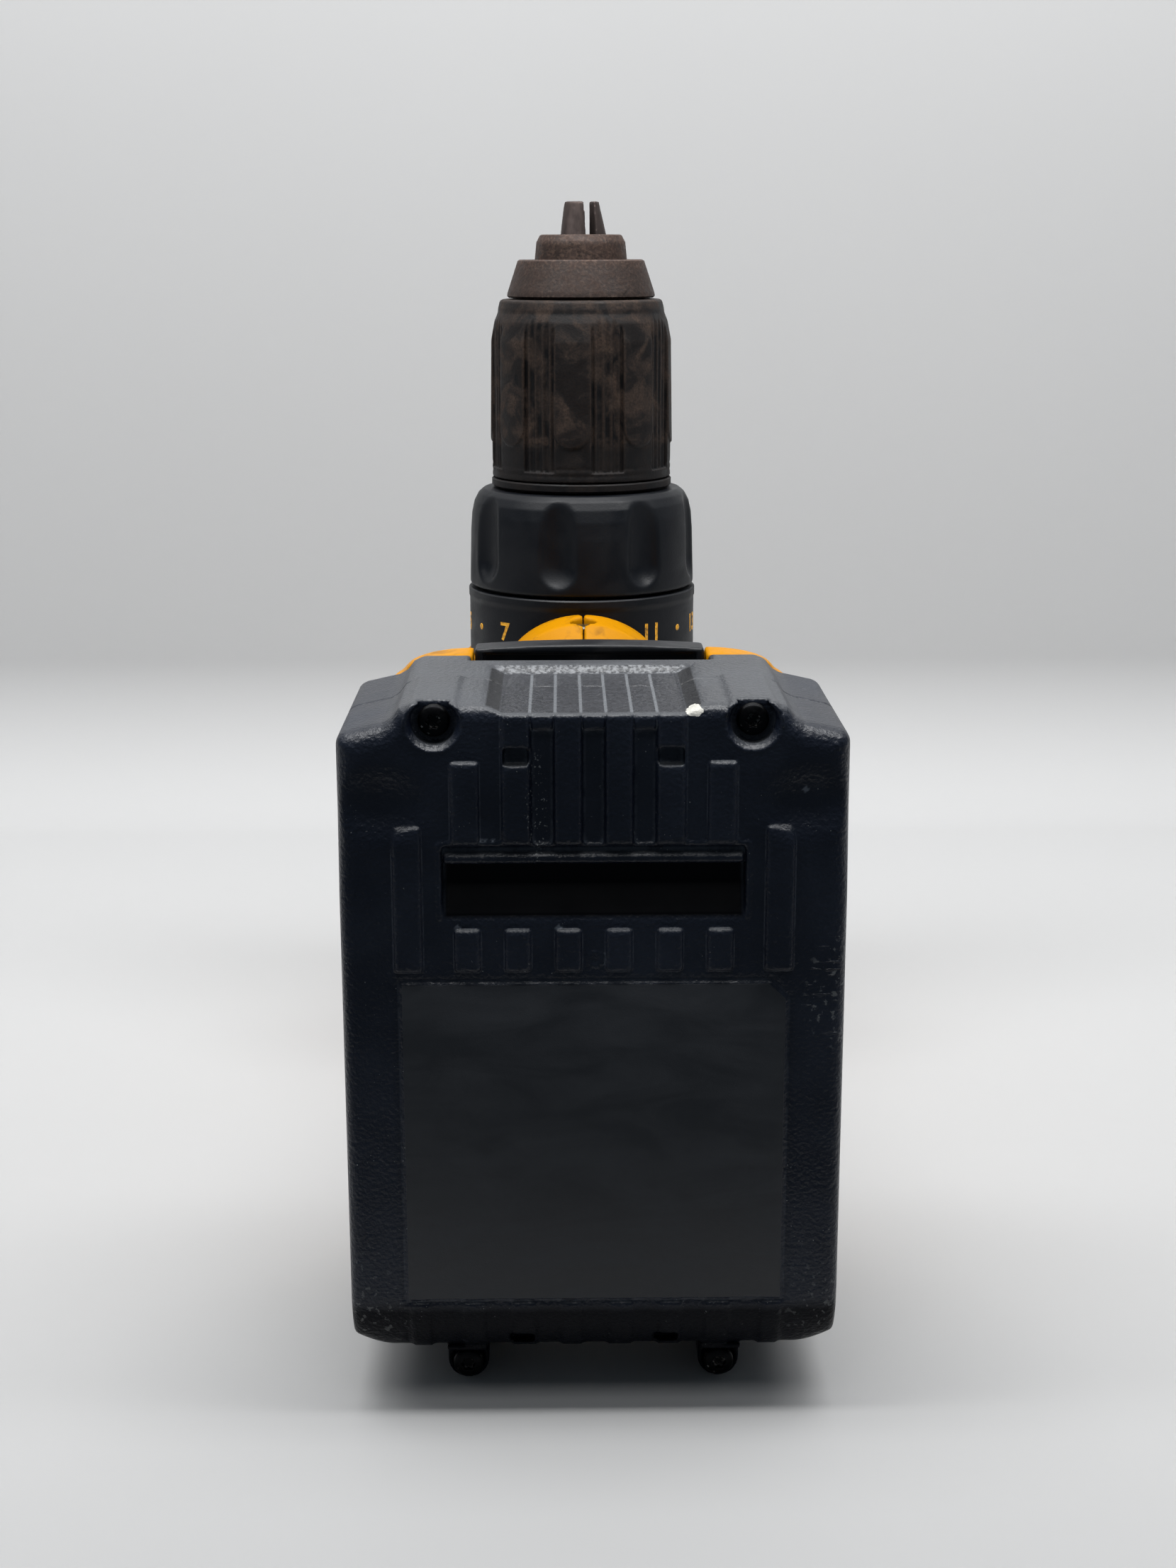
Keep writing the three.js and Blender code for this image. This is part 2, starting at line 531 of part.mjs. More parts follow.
function buildChuck() {
  const profile = turned([
    [6.65, 135.4], [12, 135.4], [12, 139.2], [15, 139.2], [15, 166], [11.7, 166], [11.7, 172], [13.4, 172],
    [13.4, 177.6], [10.9, 177.6], [10.75, NOSE.shoulder], [10.3, 191], [9.1, NOSE.top], [6.65, NOSE.top]]);
  const holes = [0, 120, 240].map((degrees) => jawBar(JAW.radius + GAP, 138, 206).rotate([0, 0, degrees]));
  addPiece('chuck_body', cut(profile, ...holes), RUSTY);

  addPiece('chuck_front_cap', turned([
    [11.3, 178.15], [17.2, 178.15], [17.1, 179.2], [14.4, 186.3], [11.3, 186.3]]), RUSTY);

  const sleeve = turned([
    [19.6, SLEEVE.bottom], [SLEEVE.radius, SLEEVE.bottom], [21.3, 150], [21, 169], [20.2, 173.2],
    [18.7, SLEEVE.top], [14.6, SLEEVE.top], [SLEEVE.bore, 172.4], [SLEEVE.bore, 139.4], [19.6, 139.4]]);
  addPiece('chuck_sleeve', cut(sleeve, ...grooves(8, -27.5, 3.4, 23.6, [139.8, 173])), SLEEVE_BLACK);

  addPiece('chuck_rear_ring', ring(12.5, 19.2, 135.2, 138.6, 24), DARK_STEEL);
  addPiece('jaw_nut', ring(12.5, 18, 166.4, 171.6, 24), STEEL);
  for (let i = 0; i < 3; i += 1) {
    addPiece(`jaw_${i + 1}`, jawBody(), JAW_STEEL).rotation.z = (i * 2 * Math.PI) / 3;
  }
  const screw = join(rod('z', 4.3, [155.6, 159], [0, 0], 12), rod('z', 2.4, [137, 156], [0, 0], 8));
  addPiece('chuck_screw', screw, DARK_STEEL);
}

// ---- battery pack -------------------------------------------------------------------------------
function packOutline(inset = 0) {
  const half = PACK.width / 2 - inset;
  const [rear, shoulder, front] = [PACK.rear + inset, PACK.shoulder - inset, PACK.front - inset];
  const [chamfer, corner, hump] = [5.5, 5, PACK_HUMP];
  const outline = new THREE.Shape();
  outline.moveTo(-half + chamfer, rear);
  outline.lineTo(half - chamfer, rear);
  outline.lineTo(half, rear + chamfer);
  outline.lineTo(half, shoulder - corner);
  outline.quadraticCurveTo(half, shoulder, half - corner, shoulder);
  outline.bezierCurveTo(31.5, shoulder, 31, front, hump, front);
  outline.lineTo(-hump, front);
  outline.bezierCurveTo(-31, front, -31.5, shoulder, -half + corner, shoulder);
  outline.quadraticCurveTo(-half, shoulder, -half, shoulder - corner);
  outline.lineTo(-half, rear + chamfer);
  return outline;
}

// The pack's lower block, rounded to its base: deeply at the rear end, lightly at the front and sides.
function packBlock(inset, top) {
  const base = PACK.base + inset;
  const rear = PACK.rear + inset;
  const round = PACK_ROUND - inset;
  const side = new THREE.Shape();
  side.moveTo(top, rear);
  side.lineTo(base + round, rear);
  side.absarc(base + round, rear + round, round, -Math.PI / 2, -Math.PI, true);
  side.lineTo(base, PACK.front - 3);
  side.quadraticCurveTo(base, PACK.front, base + 3, PACK.front);
  side.lineTo(top, PACK.front);
  const half = PACK.width / 2 - inset;
  const edge = 3;
  const plan = new THREE.Shape();
  plan.moveTo(-half, top);
  plan.lineTo(-half, base + edge);
  plan.quadraticCurveTo(-half, base, -half + edge, base);
  plan.lineTo(half - edge, base);
  plan.quadraticCurveTo(half, base, half, base + edge);
  plan.lineTo(half, top);
  return common(
    prismY(packOutline(inset), [base, top], 4),
    prismX(side, [-60, 60], 7),
    prismZ(plan, [-5, 130], 3));
}

function labelPlate() {
  const { half, bottom, top } = LABEL;
  const outline = [[-half, bottom], [half, bottom], [half, top - 2.6], [half - 2.6, top], [-half, top]];
  return prismY(outline, [PACK.base - LABEL.proud, PACK.base + 1]);
}

function packRibs() {
  const proud = [PACK.base - RIB_PROUD, PACK.base + 1];
  const ribs = [];
  for (const side of [-1, 1]) {
    const rib = (x, width, span) => ribs.push(box([side * x - width / 2, side * x + width / 2], proud, span));
    for (const x of RIB_COLUMNS) {
      rib(x, RIB_WIDTH, [98.7, x > 15 ? 112.1 : PACK.front - 1.6]);
      rib(x, RIB_WIDTH - 0.3, [77.9, 85]);
    }
    rib(29.4, 4.4, [77.9, 101.9]);
  }
  return ribs;
}

// The shallow hollow in the front end that narrows towards the button.
function frontHollow() {
  const { half, innerHalf, inner, depth } = FRONT_HOLLOW;
  const outline = [[-half, PACK.base - 1], [half, PACK.base - 1], [innerHalf, inner], [-innerHalf, inner]];
  return prismZ(outline, [PACK.front - depth, PACK.front + 3]);
}

function bossPosts(radius, [y0, y1]) {
  return [-1, 1].flatMap((side) => [
    rod('y', radius, [y0, y1], [side * BOSS.x, BOSS.z], 16),
    box([side * BOSS.x - radius, side * BOSS.x + radius], [y0, y1], [BOSS.z, 9]),
  ]);
}

function packScrewHoles(y0, y1) {
  return [-1, 1].flatMap((side) => [
    rod('y', 1.5, [y0, y1], [side * FRONT_SCREW.x, FRONT_SCREW.z], 10),
    rod('y', 1.5, [y0, y1], [side * BOSS.x, BOSS.z], 10),
  ]);
}

function buildPackBase() {
  const outer = packBlock(0, PACK.seam);
  const floor = PACK.base + FINGER.depth;
  const recess = [
    [PACK.base - 1, FINGER.bottom], [floor, FINGER.wall], [floor, FINGER.top], [PACK.base - 1, FINGER.top]];
  const frontPosts = [-1, 1].map((side) => common(
    rod('y', 5.4, [PACK.base, PACK.seam], [side * FRONT_SCREW.x, FRONT_SCREW.z], 16), outer));
  const walls = join(
    cut(outer, packBlock(WALL, PACK.seam + 1)),
    box([-FINGER.half - 2.1, FINGER.half + 2.1], [PACK.base + 1, floor + 1.7], [FINGER.bottom - 2.3, FINGER.top + 2.1]),
    ...frontPosts, ...bossPosts(BOSS.radius, [BOSS.face, PACK.seam]), labelPlate(), ...packRibs());
  const pockets = [-1, 1].map((side) => rod(
    'y', FRONT_SCREW.pocket, [PACK.base - 2, PACK.base + 3.4], [side * FRONT_SCREW.x, FRONT_SCREW.z]));
  addPiece('battery_base_shell', cut(
    walls, prismX(recess, [-FINGER.half, FINGER.half]), frontHollow(), ...pockets, ...packScrewHoles(-190, -160)), BLACK);
}

function buildPackTop() {
  const bottom = PACK.seam + GAP;
  const body = prismY(packOutline(), [bottom, PACK.top], 4);
  const inside = prismY(packOutline(WALL), [bottom - 1, PACK.top - 1.4], 4);
  const rails = join(
    box([-RAIL.neck, RAIL.neck], [PACK.top - 1, RAIL.step + 1], [RAIL.rear, RAIL.front]),
    box([-RAIL.flange, RAIL.flange], [RAIL.step, RAIL.top], [RAIL.rear, RAIL.front]));
  const posts = [-1, 1].map((side) => common(
    rod('y', 4.6, [bottom, -150], [side * FRONT_SCREW.x, FRONT_SCREW.z], 14), body));
  const blades = [-TERMINALS.bladeX, TERMINALS.bladeX].map((x) => box(
    [x - 0.9, x + 0.9], [-139, RAIL.top + 1], [RAIL.rear - 1, 45]));
  const railRoom = box([-13.4, 13.4], [PACK.top - 3, RAIL.top - 2.2], [48, RAIL.front - 2]);
  const buttonRoom = box(
    [-BUTTON.half - 0.5, BUTTON.half + 0.5], [-151, PACK.top + 1], [BUTTON.bottom - 0.4, 125]);
  const roomWall = box(
    [-BUTTON.half - 2.5, BUTTON.half + 2.5], [-152.6, PACK.top], [BUTTON.bottom - 1.6, PACK.front - 1]);
  addPiece('battery_top_shell', cut(
    join(cut(body, inside), rails, roomWall, ...posts, ...bossPosts(BOSS.radius, [bottom, -150])),
    railRoom, buttonRoom, frontHollow(), ...blades, ...packScrewHoles(-170, -158)), BLACK);
}

function buildPackButton() {
  const edge = 0.7;
  const outline = new THREE.Shape();
  outline.moveTo(-BUTTON.half, BUTTON.bottom);
  outline.lineTo(BUTTON.half, BUTTON.bottom);
  outline.lineTo(BUTTON.half, BUTTON.top - edge);
  outline.quadraticCurveTo(0, BUTTON.top + edge, -BUTTON.half, BUTTON.top - edge);
  const bar = prismY(outline, [BUTTON.under, BUTTON.over], 10);
  const springHole = rod('y', 3.4, [BUTTON.under - 1, BUTTON.under + 3.9], [0, 115.5], 12);
  addPiece('battery_release_button', cut(bar, springHole), BLACK);
  const spring = addPiece('button_spring', coil(2.5, 0.4, 6.6, 4), STEEL);
  spring.position.set(0, -144, 115.5);
  spring.rotation.x = Math.PI / 2;
}

function buildCells() {
  const rows = { lower: CELL.firstY, upper: CELL.firstY + CELL.pitchY };
  const heights = [0, 1, 2, 3, 4].map((i) => CELL.firstZ + i * CELL.pitchZ);
  for (const [row, y] of Object.entries(rows)) {
    const cans = heights.map((z) => rod('x', CELL.radius, [-CELL.half, CELL.half], [y, z], CELL.sides));
    const strips = [-1, 1].map((side) => box(
      side > 0 ? [CELL.half - 0.1, CELL.half + 0.4] : [-CELL.half - 0.4, -CELL.half + 0.1],
      [y - 4, y + 4], [heights[0] - 5, heights[4] + 5]));
    addPiece(`cell_row_${row}`, join(...cans, ...strips), CELL_WRAP);
  }
  const holes = Object.values(rows).flatMap((y) => heights.map(
    (z) => rod('x', CELL.radius + 0.25, [-40, 40], [y, z], CELL.sides)));
  for (const [side, span] of Object.entries({ left: [22, 25], right: [-25, -22] })) {
    const plate = box(span, [-181.5, -151], [15.5, 105.1]);
    addPiece(`cell_holder_${side}`, cut(plate, ...holes), WHITE_PLASTIC);
  }
  addPiece('battery_board', box([-12.5, 12.5], [-141.5, -139.8], [50, 102]), BOARD);
}

function buildPackScrews() {
  const body = (face, length) => join(
    rod('y', 2.55, [face, face + 1.7], [0, 0], 12),
    rod('y', 1.2, [face + 1, face + length], [0, 0], 8));
  const frontBody = body(PACK.base + 1.4, 27);
  const rearBody = body(BOSS.face - 2, 21);
  for (const [side, sign] of [['left', 1], ['right', -1]]) {
    addPiece(`pack_screw_front_${side}`, frontBody, DARK_STEEL)
      .position.set(sign * FRONT_SCREW.x, 0, FRONT_SCREW.z);
    addPiece(`pack_screw_rear_${side}`, rearBody, DARK_STEEL).position.set(sign * BOSS.x, 0, BOSS.z);
  }
}

buildHousing();
buildHousingScrews();
buildRearCap();
buildControls();
buildMotor();
buildGearbox();
buildClutch();
buildChuck();
buildPackBase();
buildPackTop();
buildPackButton();
buildCells();
buildPackScrews();

export default drill;
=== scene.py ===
"""A used cordless drill on the back of its motor housing, in front of a pale sweep.

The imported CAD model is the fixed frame. Moulded pieces are modelled here as distance fields in
millimetres and turned into meshes, turned pieces are spun profiles, and every surface has a
procedural material. Lengths are millimetres until a mesh is made.
"""

import functools
import math

import bmesh
import bpy
import numpy as np
import openvdb
from mathutils import Euler, Matrix, Vector


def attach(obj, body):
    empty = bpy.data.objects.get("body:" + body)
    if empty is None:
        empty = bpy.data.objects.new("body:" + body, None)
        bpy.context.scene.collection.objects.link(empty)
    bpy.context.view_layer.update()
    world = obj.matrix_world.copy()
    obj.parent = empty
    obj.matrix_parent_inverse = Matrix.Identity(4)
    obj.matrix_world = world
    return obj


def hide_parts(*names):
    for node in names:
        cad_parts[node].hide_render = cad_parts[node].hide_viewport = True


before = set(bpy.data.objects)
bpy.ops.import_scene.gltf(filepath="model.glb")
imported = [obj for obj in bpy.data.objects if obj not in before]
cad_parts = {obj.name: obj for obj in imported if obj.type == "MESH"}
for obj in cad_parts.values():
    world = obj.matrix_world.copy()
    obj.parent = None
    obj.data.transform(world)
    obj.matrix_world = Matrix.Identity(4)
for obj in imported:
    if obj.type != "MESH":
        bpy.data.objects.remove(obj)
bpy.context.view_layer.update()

MM = 0.001

# ---- driving dimensions, as in the CAD part -------------------------------------------------------
PACK_HALF = 40.3
PACK_BASE = -190.0
PACK_SEAM = -168.0
PACK_TOP = -146.0
PACK_REAR = 7.5
PACK_SHOULDER = 116.5
PACK_FRONT = 121.0
WALL = 2.6
RIB_PROUD = 0.8
RIB_COLUMNS = (4.0, 12.1, 20.1)
UPPER_RIBS = (98.9, 112.1)
LOWER_RIBS = (77.9, 85.0)
PANEL_EDGES = (1.95, 5.95, 9.9, 13.9)
TRAY_HALF, TRAY_END, TRAY_DEPTH = 14.3, -157.4, 1.3
LABEL_HALF, LABEL_BOTTOM, LABEL_TOP, LABEL_CLIP = 30.9, 21, 76, 2.6
FRONT_SCREW = (24.85, 118.2)
REAR_SCREW = (21.5, 3.6)
SCREW_RADIUS = 2.55
DIAL_RADIUS = 26.8
HOUSING_WALL = 3.4
SEAM = 0.15  # from a seam's plane to the shell on either side
FOOT_GAP = 0.0025  # keeps the rear cap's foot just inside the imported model's box

COARSER = 1
BASE_STEP, TOP_STEP, FINE_STEP, SCREW_STEP = (COARSER * step for step in (0.4, 0.5, 0.3, 0.15))
HOUSING_STEP = 0.55


# ---- distance fields ------------------------------------------------------------------------------
class Field:
    """A box of sample points: x, y, z and the distance across from the Z axis, to broadcast."""

    def __init__(self, low, high, step):
        self.low = np.array(low, dtype=np.float32)
        self.step = step
        axes = [np.arange(a, b + step, step, dtype=np.float32) for a, b in zip(low, high)]
        self.x = axes[0][:, None, None]
        self.y = axes[1][None, :, None]
        self.z = axes[2][None, None, :]
        self.across = np.sqrt(self.x**2 + self.y**2)


def smooth_min(a, b, k):
    """Union with a fillet about k wide."""
    h = np.clip(0.5 + 0.5 * (b - a) / k, 0, 1)
    return b + (a - b) * h - k * h * (1 - h)


def smooth_max(a, b, k):
    """Intersection with its edge rounded about k wide."""
    return -smooth_min(-a, -b, k)


def cut(body, tool, k=0.4):
    return smooth_max(body, -tool, k)


def slab(value, low, high):
    return np.abs(value - (low + high) / 2) - (high - low) / 2


def span(middle, half):
    return middle - half, middle + half


def rounded_box(f, x, y, z, radius=0.5):
    """A box with rounded edges; x, y and z are (low, high) pairs."""
    parts = [slab(v, a + radius, b - radius) for v, (a, b) in ((f.x, x), (f.y, y), (f.z, z))]
    outside = np.sqrt(sum(np.maximum(p, 0) ** 2 for p in parts))
    inside = np.minimum(np.maximum(np.maximum(parts[0], parts[1]), parts[2]), 0)
    return outside + inside - radius


def flat_box(u, v, u_span, v_span, radius=0.4):
    """A rounded rectangle in two coordinates."""
    a = slab(u, u_span[0] + radius, u_span[1] - radius)
    b = slab(v, v_span[0] + radius, v_span[1] - radius)
    outside = np.sqrt(np.maximum(a, 0) ** 2 + np.maximum(b, 0) ** 2)
    return outside + np.minimum(np.maximum(a, b), 0) - radius


def disc(u, v, centre, radius):
    return np.sqrt((u - centre[0]) ** 2 + (v - centre[1]) ** 2) - radius


def arc(centre, radius, start, end, steps):
    """Points on an arc, angles in degrees."""
    angles = np.radians(np.linspace(start, end, steps))
    return [(centre[0] + radius * math.cos(a), centre[1] + radius * math.sin(a)) for a in angles]


def polygon(u, v, points):
    """Signed distance to a closed polygon in two coordinates."""
    u, v = np.broadcast_arrays(u, v)
    shape = u.shape
    u, v = u.ravel(), v.ravel()
    best = np.full(u.shape, 1e9, dtype=np.float32)
    inside = np.zeros(u.shape, dtype=bool)
    count = len(points)
    for i in range(count):
        ax, ay = points[i]
        bx, by = points[(i + 1) % count]
        ex, ey = bx - ax, by - ay
        wx, wy = u - ax, v - ay
        t = np.clip((wx * ex + wy * ey) / max(ex * ex + ey * ey, 1e-12), 0, 1)
        best = np.minimum(best, (wx - ex * t) ** 2 + (wy - ey * t) ** 2)
        if ay != by:
            crosses = (ay > v) != (by > v)
            inside ^= crosses & (u < ax + (v - ay) * ex / ey)
    distance = np.sqrt(best)
    return np.where(inside, -distance, distance).reshape(shape).astype(np.float32)


def revolved(f, points):
    """Distance to a profile of (radius, z) points turned about the Z axis."""
    spacing = 0.25
    radius = f.across[:, :, 0]
    steps = np.arange(0, float(radius.max()) + 1, spacing, dtype=np.float32)
    table = polygon(steps[:, None], f.z[0], points)
    position = radius / spacing
    low = np.floor(position).astype(int)
    share = (position - low)[:, :, None].astype(np.float32)
    low = np.minimum(low, len(steps) - 2)
    return table[low] * (1 - share) + table[low + 1] * share


def new_mesh_object(name, points, faces):
    mesh = bpy.data.meshes.new(name)
    mesh.from_pydata([tuple(p) for p in points], [], [tuple(q) for q in faces])
    mesh.update()
    obj = bpy.data.objects.new(name, mesh)
    bpy.context.collection.objects.link(obj)
    return obj


def shade_smooth(obj, angle=None):
    mesh = obj.data
    mesh.polygons.foreach_set("use_smooth", [True] * len(mesh.polygons))
    if angle is not None:
        mesh.set_sharp_from_angle(angle=math.radians(angle))
    mesh.update()


def mesh_from_field(name, f, distance, adaptivity=0.0):
    """The zero surface of a distance array as a smooth mesh in metres."""
    band = 3 * f.step
    grid = openvdb.FloatGrid(band)
    grid.copyFromArray(np.ascontiguousarray(np.clip(distance, -band, band), dtype=np.float32))
    points, triangles, quads = grid.convertToPolygons(0.0, adaptivity)
    points = (points * f.step + f.low) * MM
    mesh = bpy.data.meshes.new(name)
    faces_per = [(triangles, 3), (quads, 4)]
    loops = np.concatenate([faces[:, ::-1].ravel() for faces, _ in faces_per])
    starts, start = [], 0
    for faces, corners in faces_per:
        starts.append(start + corners * np.arange(len(faces)))
        start += corners * len(faces)
    mesh.vertices.add(len(points))
    mesh.vertices.foreach_set("co", points.astype(np.float32).ravel())
    mesh.loops.add(len(loops))
    mesh.loops.foreach_set("vertex_index", loops.astype(np.int32))
    starts = np.concatenate(starts)
    mesh.polygons.add(len(starts))
    mesh.polygons.foreach_set("loop_start", starts.astype(np.int32))
    mesh.update(calc_edges=True)
    mesh.validate()
    obj = bpy.data.objects.new(name, mesh)
    bpy.context.collection.objects.link(obj)
    shade_smooth(obj)
    return obj


def resampled(profile, longest=0.8):
    """The same closed line with extra points, so that no step along it is long."""
    points = []
    for (r0, z0), (r1, z1) in zip(profile, profile[1:] + profile[:1]):
        axial = r0 < 1e-6 and r1 < 1e-6
        steps = 1 if axial else max(1, math.ceil(math.hypot(r1 - r0, z1 - z0) / longest))
        points += [(r0 + (r1 - r0) * i / steps, z0 + (z1 - z0) * i / steps) for i in range(steps)]
    return points


def spun(name, profile, segments=128, angle=35):
    """A turned mesh from (radius, z) points; the profile closes on itself unless it meets the axis."""
    profile = resampled(profile)
    angles = np.linspace(0, 2 * math.pi, segments, endpoint=False)
    rows = [[(r * math.cos(a) * MM, r * math.sin(a) * MM, z * MM) for a in angles] for r, z in profile]
    points = [p for row in rows for p in row]
    faces = []
    count = len(profile)
    for i in range(count):
        j = (i + 1) % count
        if profile[i][0] < 1e-6 and profile[j][0] < 1e-6:
            continue
        for k in range(segments):
            n = (k + 1) % segments
            faces.append((i * segments + k, i * segments + n, j * segments + n, j * segments + k))
    obj = new_mesh_object(name, points, faces)
    merge_close(obj)
    shade_smooth(obj, angle)
    return obj


def merge_close(obj):
    work = bmesh.new()
    work.from_mesh(obj.data)
    bmesh.ops.remove_doubles(work, verts=work.verts, dist=1e-7)
    bmesh.ops.recalc_face_normals(work, faces=work.faces)
    work.to_mesh(obj.data)
    work.free()


def place(obj, body, material, replaced=()):
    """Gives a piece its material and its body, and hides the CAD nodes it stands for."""
    obj.data.materials.clear()
    obj.data.materials.append(material)
    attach(obj, body)
    if replaced:
        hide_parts(*replaced)
    return obj


# ---- camera ---------------------------------------------------------------------------------------
def make_camera():
    """A plain lens a third of a metre in front of the pack, tipped down to take in its front end."""
    data = bpy.data.cameras.new("camera")
    data.sensor_width = 36
    data.lens = 49.9
    data.clip_start = 0.01
    camera = bpy.data.objects.new("camera", data)
    bpy.context.collection.objects.link(camera)
    tip, turn, roll = math.radians(13.8), math.radians(-0.69), math.radians(-0.12)
    aim = Euler((math.pi / 2 - tip, 0, turn)).to_matrix().to_4x4() @ Matrix.Rotation(roll, 4, "Z")
    camera.matrix_world = Matrix.Translation((-4.84 * MM, -518.4 * MM, 189.2 * MM)) @ aim
    bpy.context.scene.camera = camera


# ---- materials ------------------------------------------------------------------------------------
def rgb(red, green, blue):
    """Linear colour from 0 to 255 display values."""
    return tuple(((c / 255 + 0.055) / 1.055) ** 2.4 if c > 10 else c / 255 / 12.92
                 for c in (red, green, blue)) + (1.0,)


class Surface:
    """A procedural material being built: object coordinates, noises, masks and the shader."""

    def __init__(self, name, roughness, metallic=0.0, specular=0.5):
        self.material = bpy.data.materials.new(name)
        self.material.use_nodes = True
        self.nodes = self.material.node_tree.nodes
        self.links = self.material.node_tree.links
        self.shader = self.nodes["Principled BSDF"]
        self.shader.inputs["Roughness"].default_value = roughness
        self.shader.inputs["Metallic"].default_value = metallic
        self.shader.inputs["Specular IOR Level"].default_value = specular
        self.where = self.node("TexCoord").outputs["Object"]
        self.height = None

    def node(self, kind, **values):
        """A new shader node with inputs set; an underscore stands for the space in a socket's name."""
        node = self.nodes.new("ShaderNode" + kind)
        for name, value in values.items():
            node.inputs[name.replace("_", " ")].default_value = value
        return node

    def stretched(self, scale):
        """Object coordinates multiplied by a vector, for grain that runs one way."""
        mapping = self.node("Mapping", Scale=scale)
        self.links.new(self.where, mapping.inputs["Vector"])
        return mapping.outputs["Vector"]

    def noise(self, scale, detail=3.0, rough=0.55, where=None, distortion=0.0):
        node = self.node("TexNoise", Scale=scale, Detail=detail, Roughness=rough, Distortion=distortion)
        self.links.new(where or self.where, node.inputs["Vector"])
        return node.outputs["Fac"]

    def cells(self, scale):
        node = self.node("TexVoronoi", Scale=scale)
        self.links.new(self.where, node.inputs["Vector"])
        return node.outputs["Distance"]

    def ramp(self, value, low, high, dark=0.0, light=1.0):
        """Maps low..high of a value to dark..light, held outside."""
        node = self.node("MapRange", From_Min=low, From_Max=high, To_Min=dark, To_Max=light)
        self.links.new(value, node.inputs["Value"])
        return node.outputs["Result"]

    def math(self, operation, a, b):
        node = self.node("Math")
        node.operation = operation
        for socket, value in zip(node.inputs, (a, b)):
            if isinstance(value, (int, float)):
                socket.default_value = value
            else:
                self.links.new(value, socket)
        return node.outputs[0]

    def fold(self, operation, values):
        """One value from several, taken from left to right."""
        return functools.reduce(functools.partial(self.math, operation), values)

    def times(self, *values):
        return self.fold("MULTIPLY", values)

    def most(self, *values):
        return self.fold("MAXIMUM", values)

    def mix(self, factor, first, second):
        node = self.node("Mix")
        node.data_type = "RGBA"
        self.links.new(factor, node.inputs["Factor"])
        for socket, colour in ((node.inputs["A"], first), (node.inputs["B"], second)):
            if isinstance(colour, tuple):
                socket.default_value = colour
            else:
                self.links.new(colour, socket)
        return node.outputs["Result"]

    def part(self, axis):
        """One object coordinate, in metres."""
        node = self.node("SeparateXYZ")
        self.links.new(self.where, node.inputs[0])
        return node.outputs[axis]

    def along(self, axis, low, high, dark=0.0, light=1.0):
        """A ramp over one object coordinate; low and high are in millimetres."""
        return self.ramp(self.part(axis), low * MM, high * MM, dark, light)

    def within(self, axis, low, high, soft=0.4):
        """A mask of where one object coordinate lies between two values, in millimetres."""
        return self.times(self.along(axis, low - soft, low + soft),
                          self.along(axis, high - soft, high + soft, 1, 0))

    def near(self, centre, radii):
        """A soft mask round a point, with a radius along each axis, in millimetres."""
        mapping = self.node("Mapping", Location=Vector(centre) * MM, Scale=Vector(radii) * MM)
        mapping.vector_type = "TEXTURE"
        self.links.new(self.where, mapping.inputs["Vector"])
        length = self.node("VectorMath")
        length.operation = "LENGTH"
        self.links.new(mapping.outputs["Vector"], length.inputs[0])
        return self.ramp(length.outputs["Value"], 0.8, 1.2, 1, 0)

    def edges(self, low=0.52, high=0.60):
        """A mask of convex edges, from the mesh's own pointiness."""
        geometry = self.node("NewGeometry")
        return self.ramp(geometry.outputs["Pointiness"], low, high)

    def facing_up(self, low=0.3, high=0.9):
        """A mask of faces that look along the object's +Z."""
        geometry = self.node("NewGeometry")
        node = self.node("SeparateXYZ")
        self.links.new(geometry.outputs["Normal"], node.inputs[0])
        return self.ramp(node.outputs["Z"], low, high)

    def colour(self, value):
        if isinstance(value, tuple):
            self.shader.inputs["Base Color"].default_value = value
        else:
            self.links.new(value, self.shader.inputs["Base Color"])

    def rough(self, value):
        self.links.new(value, self.shader.inputs["Roughness"])

    def bump(self, height, strength, distance):
        """Adds a bump over the ones before it; distance is in metres."""
        node = self.node("Bump", Strength=strength, Distance=distance)
        self.links.new(height, node.inputs["Height"])
        if self.height is not None:
            self.links.new(self.height, node.inputs["Normal"])
        self.height = node.outputs["Normal"]
        self.links.new(self.height, self.shader.inputs["Normal"])


def tray_colours(s, base, across, pebbles):
    """Painted light and shade in the front tray: floor panels darker than the painted top light around
    them, pale painted highlights along the dividing lines, a far wall painted light and side slopes painted
    dark as shade.
    """
    above = PACK_FRONT - TRAY_DEPTH - 0.1
    # Tray floor panels, kept darker than the painted top light: painted shade.
    panels = s.times(s.ramp(across, 0.0143, 0.0147, 1, 0), s.within(1, -189, -157.7),
                     s.along(2, 119.2, 119.5))
    base = s.mix(panels, base, s.mix(s.ramp(pebbles, 0.35, 0.65), rgb(24, 26, 31), rgb(46, 48, 53)))
    # Pale lines along the panel edges: painted highlights.
    gaps = [s.math("ABSOLUTE", s.math("SUBTRACT", across, x * MM), 0) for x in PANEL_EDGES[:3]]
    nearest = s.fold("MINIMUM", gaps)
    base = s.mix(s.times(s.ramp(nearest, 0.00018, 0.0003, 1, 0), panels), base, rgb(92, 95, 99))
    # Far wall painted light.
    far_wall = s.times(s.ramp(across, 0.0155, 0.0165, 1, 0), s.within(1, -157.6, -155.6, 0.1),
                       s.along(2, above, above + 0.2))
    base = s.mix(far_wall, base, s.mix(s.ramp(pebbles, 0.4, 0.6), rgb(44, 46, 50), rgb(112, 114, 117)))
    # Side slopes painted dark: painted shade.
    slopes = s.times(s.within(1, -188.5, -157.6), s.along(2, above, above + 0.2),
                     s.ramp(across, 0.0145, 0.0147), s.ramp(across, 0.0166, 0.0169, 1, 0))
    return s.mix(slopes, base, rgb(16, 18, 22))


